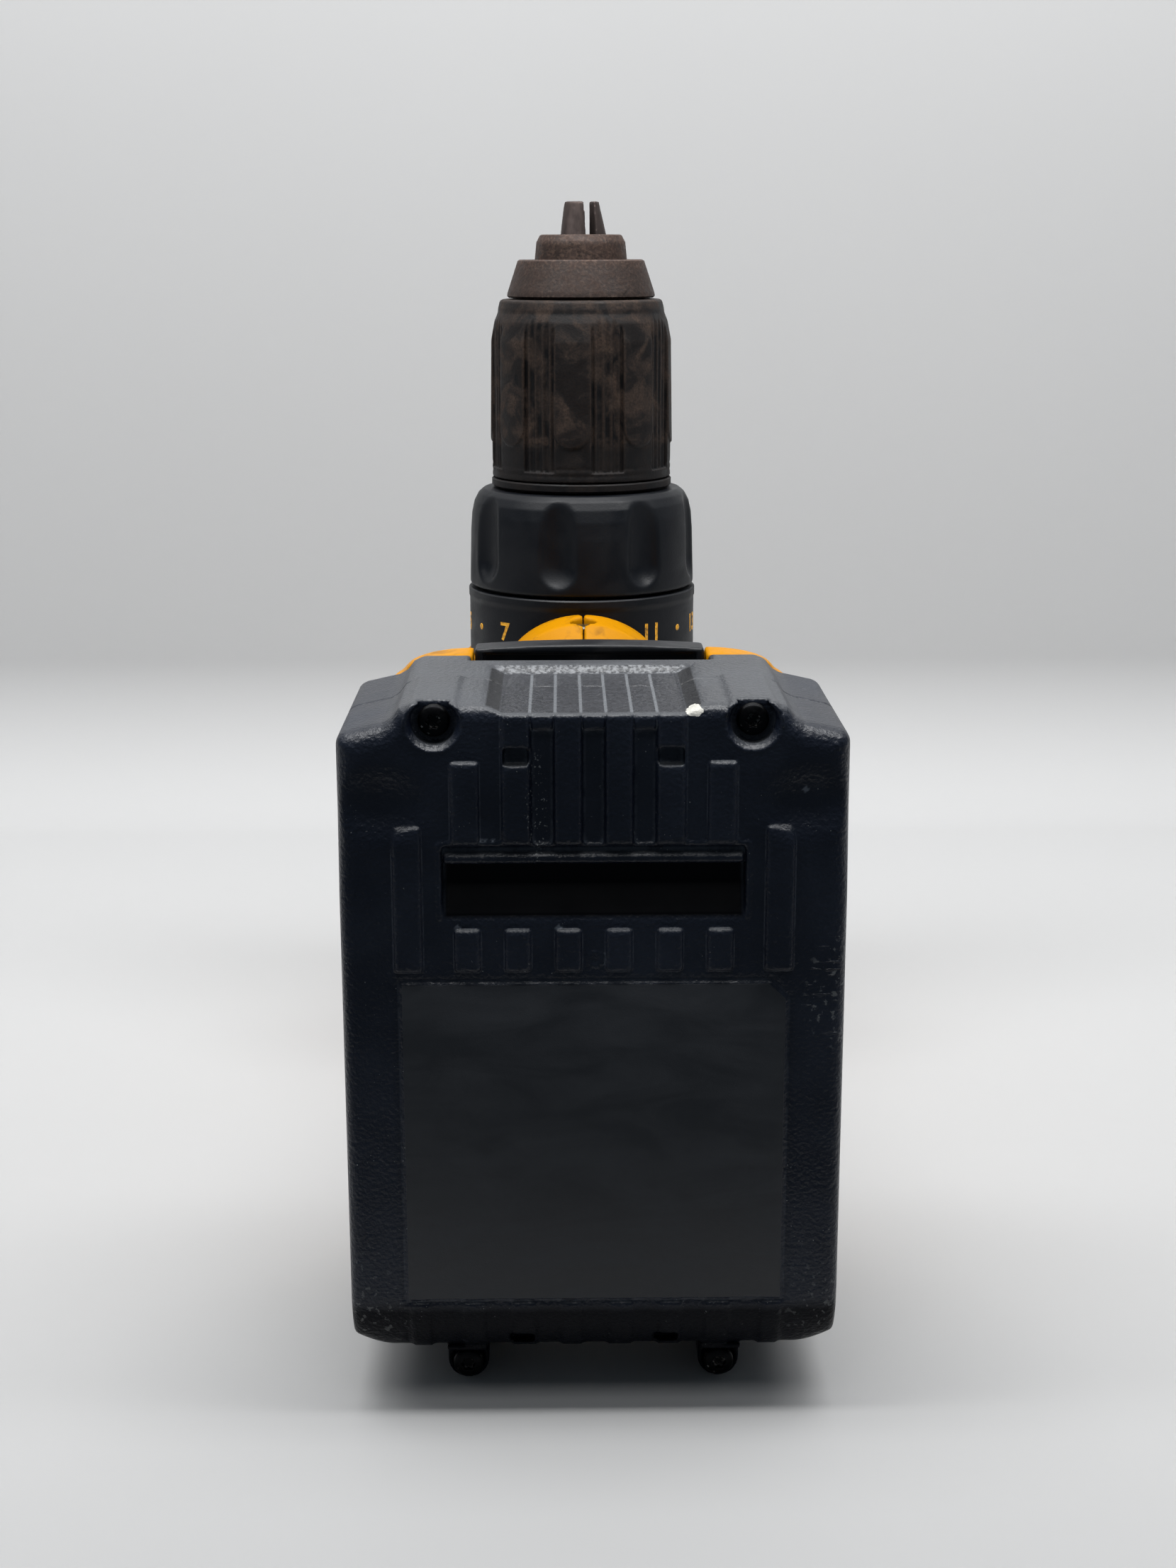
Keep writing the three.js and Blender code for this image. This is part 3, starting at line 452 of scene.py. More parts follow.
def battery_wear(s, base, pebbles, rubbed):
    """Flecks where the pack is rubbed, scattered chips, a line of dust and one chip of white paint."""
    grit = s.noise(2300, detail=1.0)
    flecks = s.times(s.ramp(s.noise(900, 3.0), 0.6, 0.66), rubbed, 0.45)
    chips = s.times(s.ramp(grit, 0.73, 0.77), s.ramp(s.noise(150, 2.0), 0.54, 0.64))
    dust_line = s.times(s.near((-9, -190, 104), (1.6, 3, 9)), s.ramp(grit, 0.64, 0.7))
    base = s.mix(s.times(s.most(flecks, chips, dust_line), 0.6), base, rgb(150, 152, 150))
    paint = s.near((15.6, -189.0, 120.0), (1.4, 2.8, 0.9))
    ragged = s.math("ADD", paint, s.ramp(pebbles, 0.3, 0.7, -0.35, 0.35))
    return s.mix(s.ramp(ragged, 0.5, 0.6), base, rgb(190, 188, 180))


def battery_plastic():
    """Pebbled blue-black nylon, chipped at its corners, with painted light and shade: the finger recess is
    smoother and painted near-black as shade, up-facing faces are painted lighter as light from above, and
    the rounded underside is painted dark as shade.
    """
    s = Surface("battery_plastic", 0.34, specular=0.3)
    pebbles = s.noise(1500, detail=2.0, rough=0.5)
    patches = s.noise(60, detail=5.0)
    across = s.math("ABSOLUTE", s.part(0), 0)
    # Finger recess: smoother and unbumped, and its colour painted near-black as shade under the bead.
    recess = s.times(s.within(0, -23.6, 23.6), s.within(2, 86.8, 95.5),
                     s.along(1, -190.05, -189.9), s.along(1, -180, -181))
    # Rounded underside below about 20 mm: painted dark as shade, with less specular.
    under = s.along(2, 20.5, 18.5)
    corner = s.times(s.ramp(across, 0.029, 0.036), s.along(2, 34, 16))
    rubbed = s.most(corner, s.near((39, -189, 74), (5, 8, 9)))

    base = s.mix(s.ramp(patches, 0.4, 0.7), rgb(14, 19, 30), rgb(24, 30, 42))
    # Convex edges painted lighter: partly edge wear, partly painted highlight on the lit rims.
    worn = s.times(s.edges(), s.ramp(s.noise(420, 3.0), 0.34, 0.54), 0.85)
    base = s.mix(worn, base, rgb(88, 93, 101))
    # Up-facing faces painted lighter in patches as painted light from above, less of it on the shoulders.
    film = s.times(s.facing_up(0.35, 0.95), s.ramp(patches, 0.25, 0.6, 0.3, 0.5),
                   s.ramp(across, 0.029, 0.034, 1.0, 0.2))
    base = s.mix(film, base, rgb(88, 90, 92))
    # Painted light and shade in the front tray.
    base = tray_colours(s, base, across, pebbles)
    # Painted shade on the rounded underside.
    base = s.mix(s.times(under, 0.9), base, rgb(2, 3, 7))
    base = battery_wear(s, base, pebbles, rubbed)
    # Painted shade: the finger recess is coloured near-black.
    s.colour(s.mix(recess, base, rgb(3, 3, 5)))

    s.rough(s.math("SUBTRACT", s.ramp(patches, 0.3, 0.7, 0.3, 0.44), s.times(recess, 0.08)))
    shine = s.math("SUBTRACT", 0.3, s.times(s.most(recess, under), 0.22))
    s.links.new(shine, s.shader.inputs["Specular IOR Level"])
    s.bump(s.times(pebbles, s.math("SUBTRACT", 1.0, recess)), 1.0, 0.00022)
    scratch = s.noise(700, 2.0, where=s.stretched((0.25, 1, 1.6)))
    s.bump(s.times(s.ramp(scratch, 0.62, 0.66), rubbed), 0.6, 0.0002)
    return s.material


def satin_plastic(name, base, dust, roughness=0.4, grain=2600, depth=0.00003):
    """Smoother moulded plastic with a fine grain and finger marks."""
    s = Surface(name, roughness, specular=0.25)
    smears = s.noise(90, detail=4.0, distortion=0.6)
    worn = s.times(s.edges(), s.ramp(s.noise(500, 3.0), 0.45, 0.65), 0.6)
    film = s.most(s.times(s.ramp(smears, 0.45, 0.75), 0.3), worn)
    s.colour(s.mix(film, base, dust))
    s.rough(s.ramp(smears, 0.35, 0.7, roughness - 0.08, roughness + 0.15))
    s.bump(s.noise(grain, 2.0), 0.6, depth)
    return s.material


def yellow_plastic():
    """Yellow housing, with a fine spark finish and dark rub marks."""
    s = Surface("yellow_housing", 0.55, specular=0.07)
    tone = s.noise(70, 4.0)
    grime = s.times(s.ramp(s.noise(230, 5.0, distortion=0.8), 0.56, 0.74), 0.55)
    base = s.mix(tone, rgb(182, 124, 0), rgb(170, 111, 0))
    s.colour(s.mix(grime, base, rgb(92, 62, 20)))
    s.rough(s.ramp(tone, 0.3, 0.7, 0.36, 0.52))
    s.bump(s.noise(2400, 2.0), 0.5, 0.00004)
    return s.material


def rubber():
    """Black overmould with a tight raised pattern, dulled by handling."""
    s = Surface("grip_rubber", 0.72, specular=0.3)
    dull = s.noise(110, 4.0)
    s.colour(s.mix(s.ramp(dull, 0.4, 0.7), rgb(22, 24, 27), rgb(46, 45, 43)))
    s.bump(s.cells(650), 0.8, 0.00025)
    s.bump(s.noise(3000, 2.0), 0.4, 0.00003)
    return s.material


def rusty_steel():
    """Brown surface rust over turned steel, darker in patches and pitted."""
    s = Surface("rusty_steel", 0.66, metallic=0.35)
    rust = s.noise(330, 6.0, distortion=1.2)
    fine = s.noise(1500, 4.0)
    bright = s.times(s.edges(0.53, 0.6), s.ramp(fine, 0.5, 0.65))
    brown = s.mix(s.ramp(rust, 0.3, 0.75), rgb(39, 28, 23), rgb(65, 47, 39))
    dusted = s.mix(s.ramp(fine, 0.45, 0.8), brown, rgb(88, 69, 58))
    worn = s.mix(bright, dusted, rgb(104, 89, 79))
    s.colour(s.mix(s.along(2, 184.5, 187, 0.45, 0.0), worn, rgb(24, 18, 16)))
    s.rough(s.ramp(rust, 0.3, 0.7, 0.48, 0.78))
    s.bump(fine, 0.7, 0.00008)
    s.bump(rust, 0.5, 0.00016)
    return s.material


def dark_steel(name, base, light, roughness=0.45, grain=(1, 1, 1)):
    """Oxide-black or ground steel with fine lines and brighter edges."""
    s = Surface(name, roughness, metallic=0.9)
    lines = s.noise(900, 3.0, where=s.stretched(grain))
    worn = s.times(s.edges(0.52, 0.6), s.ramp(s.noise(700, 3.0), 0.4, 0.62))
    s.colour(s.mix(worn, s.mix(lines, base, light), rgb(170, 166, 160)))
    s.rough(s.ramp(lines, 0.3, 0.7, roughness - 0.1, roughness + 0.15))
    s.bump(lines, 0.5, 0.00004)
    return s.material


def dusty_sleeve():
    """The chuck sleeve's plastic, browned by dust that sits in its grooves."""
    s = Surface("sleeve_plastic", 0.62, specular=0.22)
    patch = s.noise(170, 6.0, distortion=0.9)
    fine = s.noise(1900, 4.0)
    hollow = s.math("SUBTRACT", 1.0, s.edges(0.44, 0.51))
    dust = s.most(s.times(s.ramp(patch, 0.42, 0.68), 0.75), s.times(hollow, 0.6))
    dust = s.times(dust, s.ramp(fine, 0.3, 0.62, 0.35, 1.0), s.along(2, 144.5, 146.5, 0.25, 1.0))
    s.colour(s.mix(dust, rgb(9, 9, 11), rgb(72, 58, 49)))
    s.rough(s.ramp(patch, 0.35, 0.65, 0.48, 0.74))
    s.bump(fine, 0.7, 0.00007)
    s.bump(patch, 0.3, 0.00012)
    return s.material


def label_plastic():
    """The blank rating plate: a smoother, slightly greyer patch with rubbed streaks."""
    s = Surface("battery_label", 0.5, specular=0.4)
    streaks = s.noise(55, 5.0, where=s.stretched((1, 1, 3.2)), distortion=0.8)
    s.colour(s.mix(s.ramp(streaks, 0.35, 0.7), rgb(27, 29, 33), rgb(40, 42, 46)))
    s.rough(s.ramp(streaks, 0.3, 0.7, 0.44, 0.6))
    s.bump(s.noise(3200, 2.0), 0.7, 0.00004)
    return s.material


def printed_ochre():
    """Dial print, a little worn."""
    s = Surface("dial_print", 0.55)
    s.colour(s.mix(s.ramp(s.noise(1400, 3.0), 0.45, 0.72), rgb(232, 170, 40), rgb(120, 84, 30)))
    s.bump(s.noise(2600, 2.0), 0.4, 0.00002)
    return s.material


def plain_inner(name, base, light, roughness=0.4, metallic=0.0, scale=500):
    """A simple mottled finish for pieces inside the housing."""
    s = Surface(name, roughness, metallic=metallic)
    tone = s.noise(scale, 3.0)
    s.colour(s.mix(tone, base, light))
    s.bump(tone, 0.3, 0.00003)
    return s.material


def lens_material():
    s = Surface("led_lens", 0.18)
    s.shader.inputs["Transmission Weight"].default_value = 0.6
    s.colour(s.mix(s.noise(900, 2.0), rgb(70, 62, 40), rgb(96, 86, 60)))
    s.bump(s.noise(1200, 2.0), 0.3, 0.00003)
    return s.material


def sweep_material():
    """Matt pale board with faint cloudiness; clear from its back, so that it hides nothing."""
    s = Surface("sweep", 0.8, specular=0.2)
    s.colour(s.mix(s.noise(3.0, 3.0), rgb(165, 165, 165), rgb(170, 170, 170)))
    s.bump(s.noise(420, 3.0), 0.08, 0.0001)
    geometry = s.node("NewGeometry")
    clear = s.node("BsdfTransparent")
    by_side = s.node("MixShader")
    s.links.new(geometry.outputs["Backfacing"], by_side.inputs[0])
    s.links.new(s.shader.outputs[0], by_side.inputs[1])
    s.links.new(clear.outputs[0], by_side.inputs[2])
    output = next(node for node in s.nodes if node.type == "OUTPUT_MATERIAL")
    s.links.new(by_side.outputs[0], output.inputs["Surface"])
    return s.material


M = {
    "battery": battery_plastic(),
    "black": satin_plastic("black_plastic", rgb(20, 22, 26), rgb(58, 58, 58)),
    "collar": satin_plastic("collar_plastic", rgb(5, 8, 14), rgb(24, 26, 30), 0.46, 1900, 0.00005),
    "yellow": yellow_plastic(),
    "rubber": rubber(),
    "rusty": rusty_steel(),
    "sleeve": dusty_sleeve(),
    "jaw": dark_steel("jaw_steel", rgb(66, 58, 57), rgb(88, 78, 74), 0.55, (1, 1, 0.2)),
    "screw": dark_steel("screw_steel", rgb(8, 9, 11), rgb(18, 18, 20), 0.4),
    "steel": dark_steel("bright_steel", rgb(150, 152, 155), rgb(185, 186, 188), 0.32),
    "label": label_plastic(),
    "print": printed_ochre(),
    "cast": plain_inner("cast_metal", rgb(150, 152, 154), rgb(178, 180, 182), 0.5, 0.9),
    "copper": plain_inner("copper_winding", rgb(150, 84, 44), rgb(190, 116, 66), 0.35, 0.8, 1500),
    "white": plain_inner("white_plastic", rgb(210, 208, 200), rgb(226, 224, 216), 0.5),
    "cell": plain_inner("cell_wrap", rgb(30, 110, 66), rgb(44, 132, 82), 0.35),
    "board": plain_inner("circuit_board", rgb(18, 84, 44), rgb(26, 104, 56), 0.4),
    "lens": lens_material(),
    "sweep": sweep_material(),
}


# ---- battery pack ---------------------------------------------------------------------------------
def pack_outline(f):
    """The pack along the base's normal: chamfered at the rear, shouldered beside a higher middle."""
    half, shoulder, front = PACK_HALF, PACK_SHOULDER, PACK_FRONT
    right = [(half - 5.5, PACK_REAR), (half, PACK_REAR + 5.5)]
    right += arc((half - 2.4, shoulder - 2.2), 2.4, 0, 72, 7)
    right += [(34.6, shoulder + 1.0), (33.0, shoulder + 1.3), (31.5, shoulder + 2.2),
              (30.3, front - 0.7), (28.5, front)]
    points = right + [(-x, z) for x, z in reversed(right)]
    return polygon(f.x[:, 0], f.z[0], points)[:, None, :]


def pack_block(f):
    """The rounded block of the pack: deep rounding at the rear end, bumpers at the sides."""
    side = [(-150, PACK_REAR - 8)]
    side += arc((PACK_BASE + 14, PACK_REAR + 14), 14, 261, 180, 14)
    side += [(PACK_BASE, PACK_FRONT + 12), (-150, PACK_FRONT + 12)]
    end = polygon(f.y[0], f.z[0], side)[None, :, :]
    bumper = np.clip((np.abs(f.x) - 27) / 6, 0, 1) * np.clip((f.z - 90) / 14, 0, 1)
    return smooth_max(pack_outline(f), end, 2.6 + 1.4 * bumper)


def on_face(block, plan, offset, k=0.5):
    """A pad with a given plan that stands proud of the block, or is sunk in it by a negative offset."""
    return smooth_max(block - offset, plan, k)


def front_tray(f):
    """The tray in the front end: a flat floor, sloped sides and a steeper far wall."""
    rise = f.z - (PACK_FRONT - TRAY_DEPTH)
    side_wall = (np.abs(f.x) - TRAY_HALF) * 0.45 - rise * 0.89
    far_wall = (f.y - TRAY_END) * 0.6 - rise * 0.8
    return np.maximum(np.maximum(side_wall, far_wall), -rise)


def panel_grooves(f):
    """Thin dividing grooves between the seven panels, running over the front edge."""
    return np.minimum.reduce([np.abs(np.abs(f.x) - edge) - 0.2 for edge in PANEL_EDGES])


def rib_plans(f):
    """Plans of the ribs on the base, in x and z; the inner columns run over the front edge."""
    plans = []
    for side in (-1, 1):
        for x in RIB_COLUMNS:
            top = UPPER_RIBS[1] if x > 15 else 130.0
            plans.append(flat_box(f.x, f.z, span(side * x, 2.15), (UPPER_RIBS[0], top)))
            plans.append(flat_box(f.x, f.z, span(side * x, 2.0), LOWER_RIBS))
        plans.append(flat_box(f.x, f.z, span(side * 29.4, 2.2), (LOWER_RIBS[0], 101.9)))
    return np.minimum.reduce([np.broadcast_to(p, plans[0].shape) for p in plans])


def strip_panels(f):
    """Raised panels on the rounded rear edge, under the label."""
    panels = [(-30.5, -27), (-21.8, -17.9), (-13.6, -9.6), (-5.5, -1.8),
              (2.3, 6.5), (10.6, 14.5), (18.2, 22.4), (27.4, 31)]
    return np.minimum.reduce([flat_box(f.x, f.z, panel, (7.0, 21.5)) for panel in panels])


def base_relief(f, block, body):
    """Adds the ribs, the rear panels and the label's pad with the groove round it."""
    body = np.minimum(body, on_face(block, rib_plans(f), RIB_PROUD, 0.55))
    body = np.minimum(body, on_face(block, strip_panels(f), 0.35, 0.4))
    corner = (f.x + f.z - (LABEL_HALF + LABEL_TOP - LABEL_CLIP)) * 0.7071
    label = flat_box(f.x, f.z, (-LABEL_HALF, LABEL_HALF), (LABEL_BOTTOM, LABEL_TOP), 0.5)
    label = smooth_max(label, corner, 0.3)
    body = np.minimum(body, on_face(block, label, 0.2, 0.15))
    groove = np.abs(label - 0.35) - 0.3
    return cut(body, np.maximum(groove, np.maximum(-(block + 0.3), f.y + 188)), 0.3)


def finger_recess(f, block, body):
    """Hollows the shell and sinks the finger recess, with its frame ridge and upper bead."""
    ridge = np.maximum(flat_box(f.x, f.z, (-24.9, 24.9), (86.5, 99.4), 0.6),
                       -flat_box(f.x, f.z, (-24.0, 24.0), (80, 98.6), 0.5))
    body = np.minimum(body, on_face(block, ridge, 0.3, 0.3))
    profile = [(-193, 86.2), (-190.2, 86.4), (-186.6, 92.5), (-186.4, 95.6),
               (-188.9, 95.8), (-188.9, 98.3), (-193, 98.3)]
    recess = smooth_max(polygon(f.y[0], f.z[0], profile)[None, :, :], np.abs(f.x) - 23.9, 0.7)
    pad = rounded_box(f, (-26, 26), (-189, -184.9), (84, 100.5))
    hollow = np.maximum(block + WALL, -(pad - 0.01))
    body = cut(np.minimum(body, np.maximum(pad, block)), np.maximum(hollow, -(f.y + 188)), 0.3)
    bead = np.maximum(disc(f.y, f.z, (-189.1, 96.4), 0.95), np.abs(f.x) - 23.5)
    return np.minimum(cut(body, recess, 0.5), bead)


def front_details(f, block, body):
    """Shoulder hollows, the tray, the sunk columns below it, their tips, and a small ring mark."""
    dent = np.sqrt(((np.abs(f.x) - 33.5) / 7)**2 + ((f.z - 105.6) / 5.2)**2
                   + ((f.y + 191.3) / 2.6)**2) - 1
    body = cut(cut(body, dent * 2.5, 1.2), front_tray(f), 0.5)
    column_top = 117.3
    valleys = np.minimum.reduce([np.abs(f.x + 8) - 1.65, np.abs(f.x) - 1.6, np.abs(f.x - 8) - 1.65])
    sunk = np.maximum(valleys, slab(f.z, UPPER_RIBS[0], column_top))
    body = cut(body, np.maximum(sunk, f.y + 189.4), 0.4)
    mark = np.abs(np.hypot(f.x - 0.2, f.z - 79.9) - 1.1) - 0.3
    body = np.minimum(body, on_face(block, mark, 0.3, 0.2))
    tips = on_face(block, np.maximum(valleys, column_top - f.z), 0.6)
    return np.minimum(body, smooth_max(tips, f.z - (PACK_FRONT - 1.5), 0.5))


def front_boss(f, block, body, side):
    """A screw's flared pocket at the front end, with the notch beside it."""
    notch = flat_box(f.x, f.z, span(side * 12.1, 1.9), (111.6, 114.3), 0.3)
    body = cut(body, np.maximum(notch, f.y + 189.0), 0.3)
    centre, floor = (side * FRONT_SCREW[0], FRONT_SCREW[1]), -186.6
    flare = 0.75 * np.clip((-188.9 - f.y) / 1.1, 0, 1.5)
    pocket = np.maximum(disc(f.x, f.z, centre, 3.6) - flare, f.y - floor)
    wall = np.maximum(disc(f.x, f.z, centre, 5.4), np.maximum(block, floor - f.y))
    lip = on_face(block, disc(f.x, f.z, centre, 4.7), 0.35, 0.4)
    return cut(np.minimum(np.minimum(body, wall), lip), pocket, 0.3)


def post_plan(f, side, top):
    """Plan of a rear screw's post: a round foot and a block up to a height."""
    x, z = side * REAR_SCREW[0], REAR_SCREW[1]
    return np.minimum(disc(f.x, f.z, (x, z), 3.5), flat_box(f.x, f.z, span(x, 3.5), (z, top), 0.3))


def rear_boss(f, block, body, side):
    """A screw's post under the rear end, with its ledge and the slot beside it."""
    slot = flat_box(f.x, f.z, span(side * 12, 1.9), (10.8, 13.4), 0.3)
    body = cut(body, np.maximum(slot, -(block + 1.2)), 0.3)
    x, z = side * REAR_SCREW[0], REAR_SCREW[1]
    ends = np.maximum(-178 - f.y, f.y - (PACK_SEAM - SEAM))
    body = smooth_min(body, smooth_max(post_plan(f, side, 9.5), ends, 0.6), 0.8)
    body = np.minimum(body, rounded_box(f, span(x, 3.4), (-183.2, -177), (7.9, 9.0), 0.4))
    return cut(body, np.maximum(disc(f.x, f.z, (x, z), 2.75), f.y + 177.2), 0.2)


def battery_base():
    f = Field((-41.4, -192.4, -1.4), (41.4, -166.6, 122.6), BASE_STEP)
    block = pack_block(f)
    body = smooth_max(block, f.y - (PACK_SEAM + 0.01), 0.1)
    for shape in (base_relief, finger_recess, front_details):
        body = shape(f, block, body)
    for side in (-1, 1):
        body = rear_boss(f, block, front_boss(f, block, body, side), side)
    obj = mesh_from_field("battery_base", f, body)
    return place(obj, "battery", M["battery"], ["battery_base_shell"])


def label_face():
    """A thin blank plate of smoother plastic over the label's raised pad."""
    half, foot, top, y = LABEL_HALF - 0.3, LABEL_BOTTOM + 0.3, LABEL_TOP - 0.3, PACK_BASE - 0.36
    outline = [(-half, foot), (half, foot), (half, top - LABEL_CLIP), (half - LABEL_CLIP, top),
               (-half, top)]
    front = [(x * MM, y * MM, z * MM) for x, z in outline]
    back = [(x * MM, (y + 0.5) * MM, z * MM) for x, z in outline]
    count = len(outline)
    faces = [tuple(range(count)), tuple(reversed(range(count, 2 * count)))]
    faces += [(i, i + count, (i + 1) % count + count, (i + 1) % count) for i in range(count)]
    obj = new_mesh_object("battery_label_plate", front + back, faces)
    merge_close(obj)
    soften(obj, 0.12)
    return place(obj, "battery", M["label"])


def battery_top():
    f = Field((-41.4, -169.0, -1.4), (41.4, -130.6, 122.6), TOP_STEP)
    outline = pack_outline(f)
    shell = smooth_max(outline, f.y - PACK_TOP, 1.0)
    shell = np.maximum(shell, PACK_SEAM + 0.04 - f.y)
    hollow = np.maximum(outline + WALL, f.y - (PACK_TOP - 1.4))
    rails = np.minimum(rounded_box(f, (-16, 16), (-148, -138), (33.7, 107.2)),
                       rounded_box(f, (-20, 20), (-138.8, -132), (33.7, 107.2)))
    room_wall = rounded_box(f, (-22.6, 22.6), (-152.6, -146.4), (108.4, 120))
    body = np.minimum(np.minimum(cut(shell, hollow, 0.3), rails), room_wall)
    room = rounded_box(f, (-20.6, 20.6), (-151, -144), (109.6, 127), 0.3)
    rail_room = rounded_box(f, (-13.4, 13.4), (-150, -134.2), (48, 105.2))
    body = cut(cut(body, room, 0.3), rail_room, 0.3)
    for side in (-1, 1):
        post = smooth_max(post_plan(f, side, 9), slab(f.y, PACK_SEAM + SEAM, -150), 0.6)
        body = smooth_min(body, post, 0.8)
        blade = rounded_box(f, span(side * 8, 0.9), (-139, -130), (30, 45), 0.2)
        body = cut(body, blade, 0.2)
    body = cut(body, front_tray(f), 0.5)
    lines = np.maximum(panel_grooves(f), np.maximum(f.y + 157.8, PACK_FRONT - 1.6 - f.z))
    body = cut(body, lines, 0.25)
    obj = mesh_from_field("battery_top", f, body)
    return place(obj, "battery", M["battery"], ["battery_top_shell"])


def release_button():
    f = Field((-21, -145, 109), (21, -136, 123), FINE_STEP)
    crown = 122.15 - 0.7 * (f.x / 20.1)**2
    body = smooth_max(rounded_box(f, (-20.1, 20.1), (-143.5, -137.2), (110, 124), 0.5), f.z - crown, 0.5)
    body = cut(body, rounded_box(f, (-18.6, 18.6), (-144.5, -142.6), (112, 120.6), 0.3), 0.3)
    body = cut(body, np.maximum(disc(f.x, f.z, (0, 115.5), 3.4), f.y + 139.6), 0.2)
    obj = mesh_from_field("release_button", f, body)
    return place(obj, "release_button", M["black"], ["battery_release_button"])


def screw_head(name, centre, radius, body, replaced):
    """A pan head seen along its axis, domed, with a six-lobed recess; it faces -Y."""
    f = Field((-radius - 1, -1, -radius - 1), (radius + 1, 3.4, radius + 1), SCREW_STEP)
    across = np.sqrt(f.x**2 + f.z**2)
    turn = np.arctan2(f.z, f.x)
    dome = across**2 / (4.2 * radius)
    head = smooth_max(across - radius, np.maximum(dome - f.y, f.y - 2.2), 0.5)
    socket = across - (radius * 0.42 + 0.13 * np.cos(6 * turn))
    head = cut(head, np.maximum(socket, f.y - 1.1), 0.15)
    head = np.minimum(head, np.maximum(across - 1.2, slab(f.y, 1.8, 3.2)))
    obj = mesh_from_field(name, f, head)
    obj.data.transform(Matrix.Translation(Vector(centre) * MM))
    return place(obj, body, M["screw"], replaced)


def pack_screws():
    for side, name in ((1, "left"), (-1, "right")):
        for end, (x, z), y in (("front", FRONT_SCREW, -188.6), ("rear", REAR_SCREW, -180.0)):
            screw_head(f"{end}_screw_{name}", (side * x, y, z), SCREW_RADIUS, "battery",
                       [f"pack_screw_{end}_{name}"])


# ---- clutch and chuck -----------------------------------------------------------------------------
def around(degrees, radius):
    """The point at an angle from -Y towards +X, at a radius."""
    a = math.radians(degrees)
    return radius * math.sin(a), -radius * math.cos(a)


def clutch_collar():
    f = Field((-28, -28, 108.2), (28, 28, 135.6), FINE_STEP)
    outer = revolved(f, [(0, 112), (26.1, 112), (26.6, 112.5), (26.6, 113.5), (26.3, 125), (26, 129),
                         (25.4, 131.7), (24.4, 133.6), (23.1, 134.7), (0, 134.7)])
    for i in range(8):
        x, y = around(-57.5 + 45 * i, 31.3)
        above = np.maximum(118.9 - f.z, 0)
        flute = np.sqrt((f.x - x)**2 + (f.y - y)**2 + above**2) - 6.8
        top = (f.z - 133.2) * 0.5
        outer = cut(outer, np.maximum(flute, top), 0.55)
    across = f.across
    bore = np.minimum(np.maximum(across - 21.5, f.z - 128), across - 17)
    obj = mesh_from_field("clutch_collar", f, cut(outer, bore, 0.4))
    return place(obj, "clutch", M["collar"], ["clutch_collar"])


def dial_ring():
    profile = [(23.3, 96), (DIAL_RADIUS, 96), (DIAL_RADIUS, 109), (27, 109.4), (27, 111.1),
               (26.7, 111.4), (23.3, 111.4)]
    obj = spun("clutch_dial", profile, 160, 30)
    return place(obj, "clutch", M["collar"], ["clutch_dial"])


def wrapped_text(name, text, degrees, height, z, radius):
    """A raised figure bent round the dial, upright with the chuck up."""
    curve = bpy.data.curves.new(name, "FONT")
    curve.body = text
    curve.size = height * 1.37 * MM
    curve.extrude = 0.03 * MM
    curve.align_x = "CENTER"
    curve.resolution_u = 4
    curve.offset = 0.1 * MM
    source = bpy.data.objects.new(name + "_source", curve)
    bpy.context.collection.objects.link(source)
    bpy.context.view_layer.update()
    mesh = bpy.data.meshes.new_from_object(source.evaluated_get(bpy.context.evaluated_depsgraph_get()))
    bpy.data.objects.remove(source)
    mesh.name = name
    for vertex in mesh.vertices:
        a = math.radians(degrees) + vertex.co.x / (radius * MM)
        r = radius * MM + vertex.co.z
        vertex.co = (r * math.sin(a), -r * math.cos(a), (z - height / 2) * MM + vertex.co.y)
    obj = bpy.data.objects.new(name, mesh)
    bpy.context.collection.objects.link(obj)
    return place(obj, "clutch", M["print"])


def dial_marks():
    """Odd settings as figures and even ones as dots, round the dial's free arc."""
    for number in range(1, 17):
        angle = -3 + 19.7 * (number - 9)
        if number % 2:
            wrapped_text(f"dial_figure_{number:02d}", str(number), angle, 4.3, 103.4, DIAL_RADIUS + 0.03)
        else:
            dot = spun(f"dial_dot_{number:02d}", [(0, 0), (0.75, 0), (0.7, 0.06), (0, 0.06)], 16, 60)
            x, y = around(angle, DIAL_RADIUS)
            turn = Matrix.Rotation(math.radians(angle), 4, "Z") @ Matrix.Rotation(math.radians(90), 4, "X")
            dot.data.transform(Matrix.Translation((x * MM, y * MM, 103.3 * MM)) @ turn)
            place(dot, "clutch", M["print"])


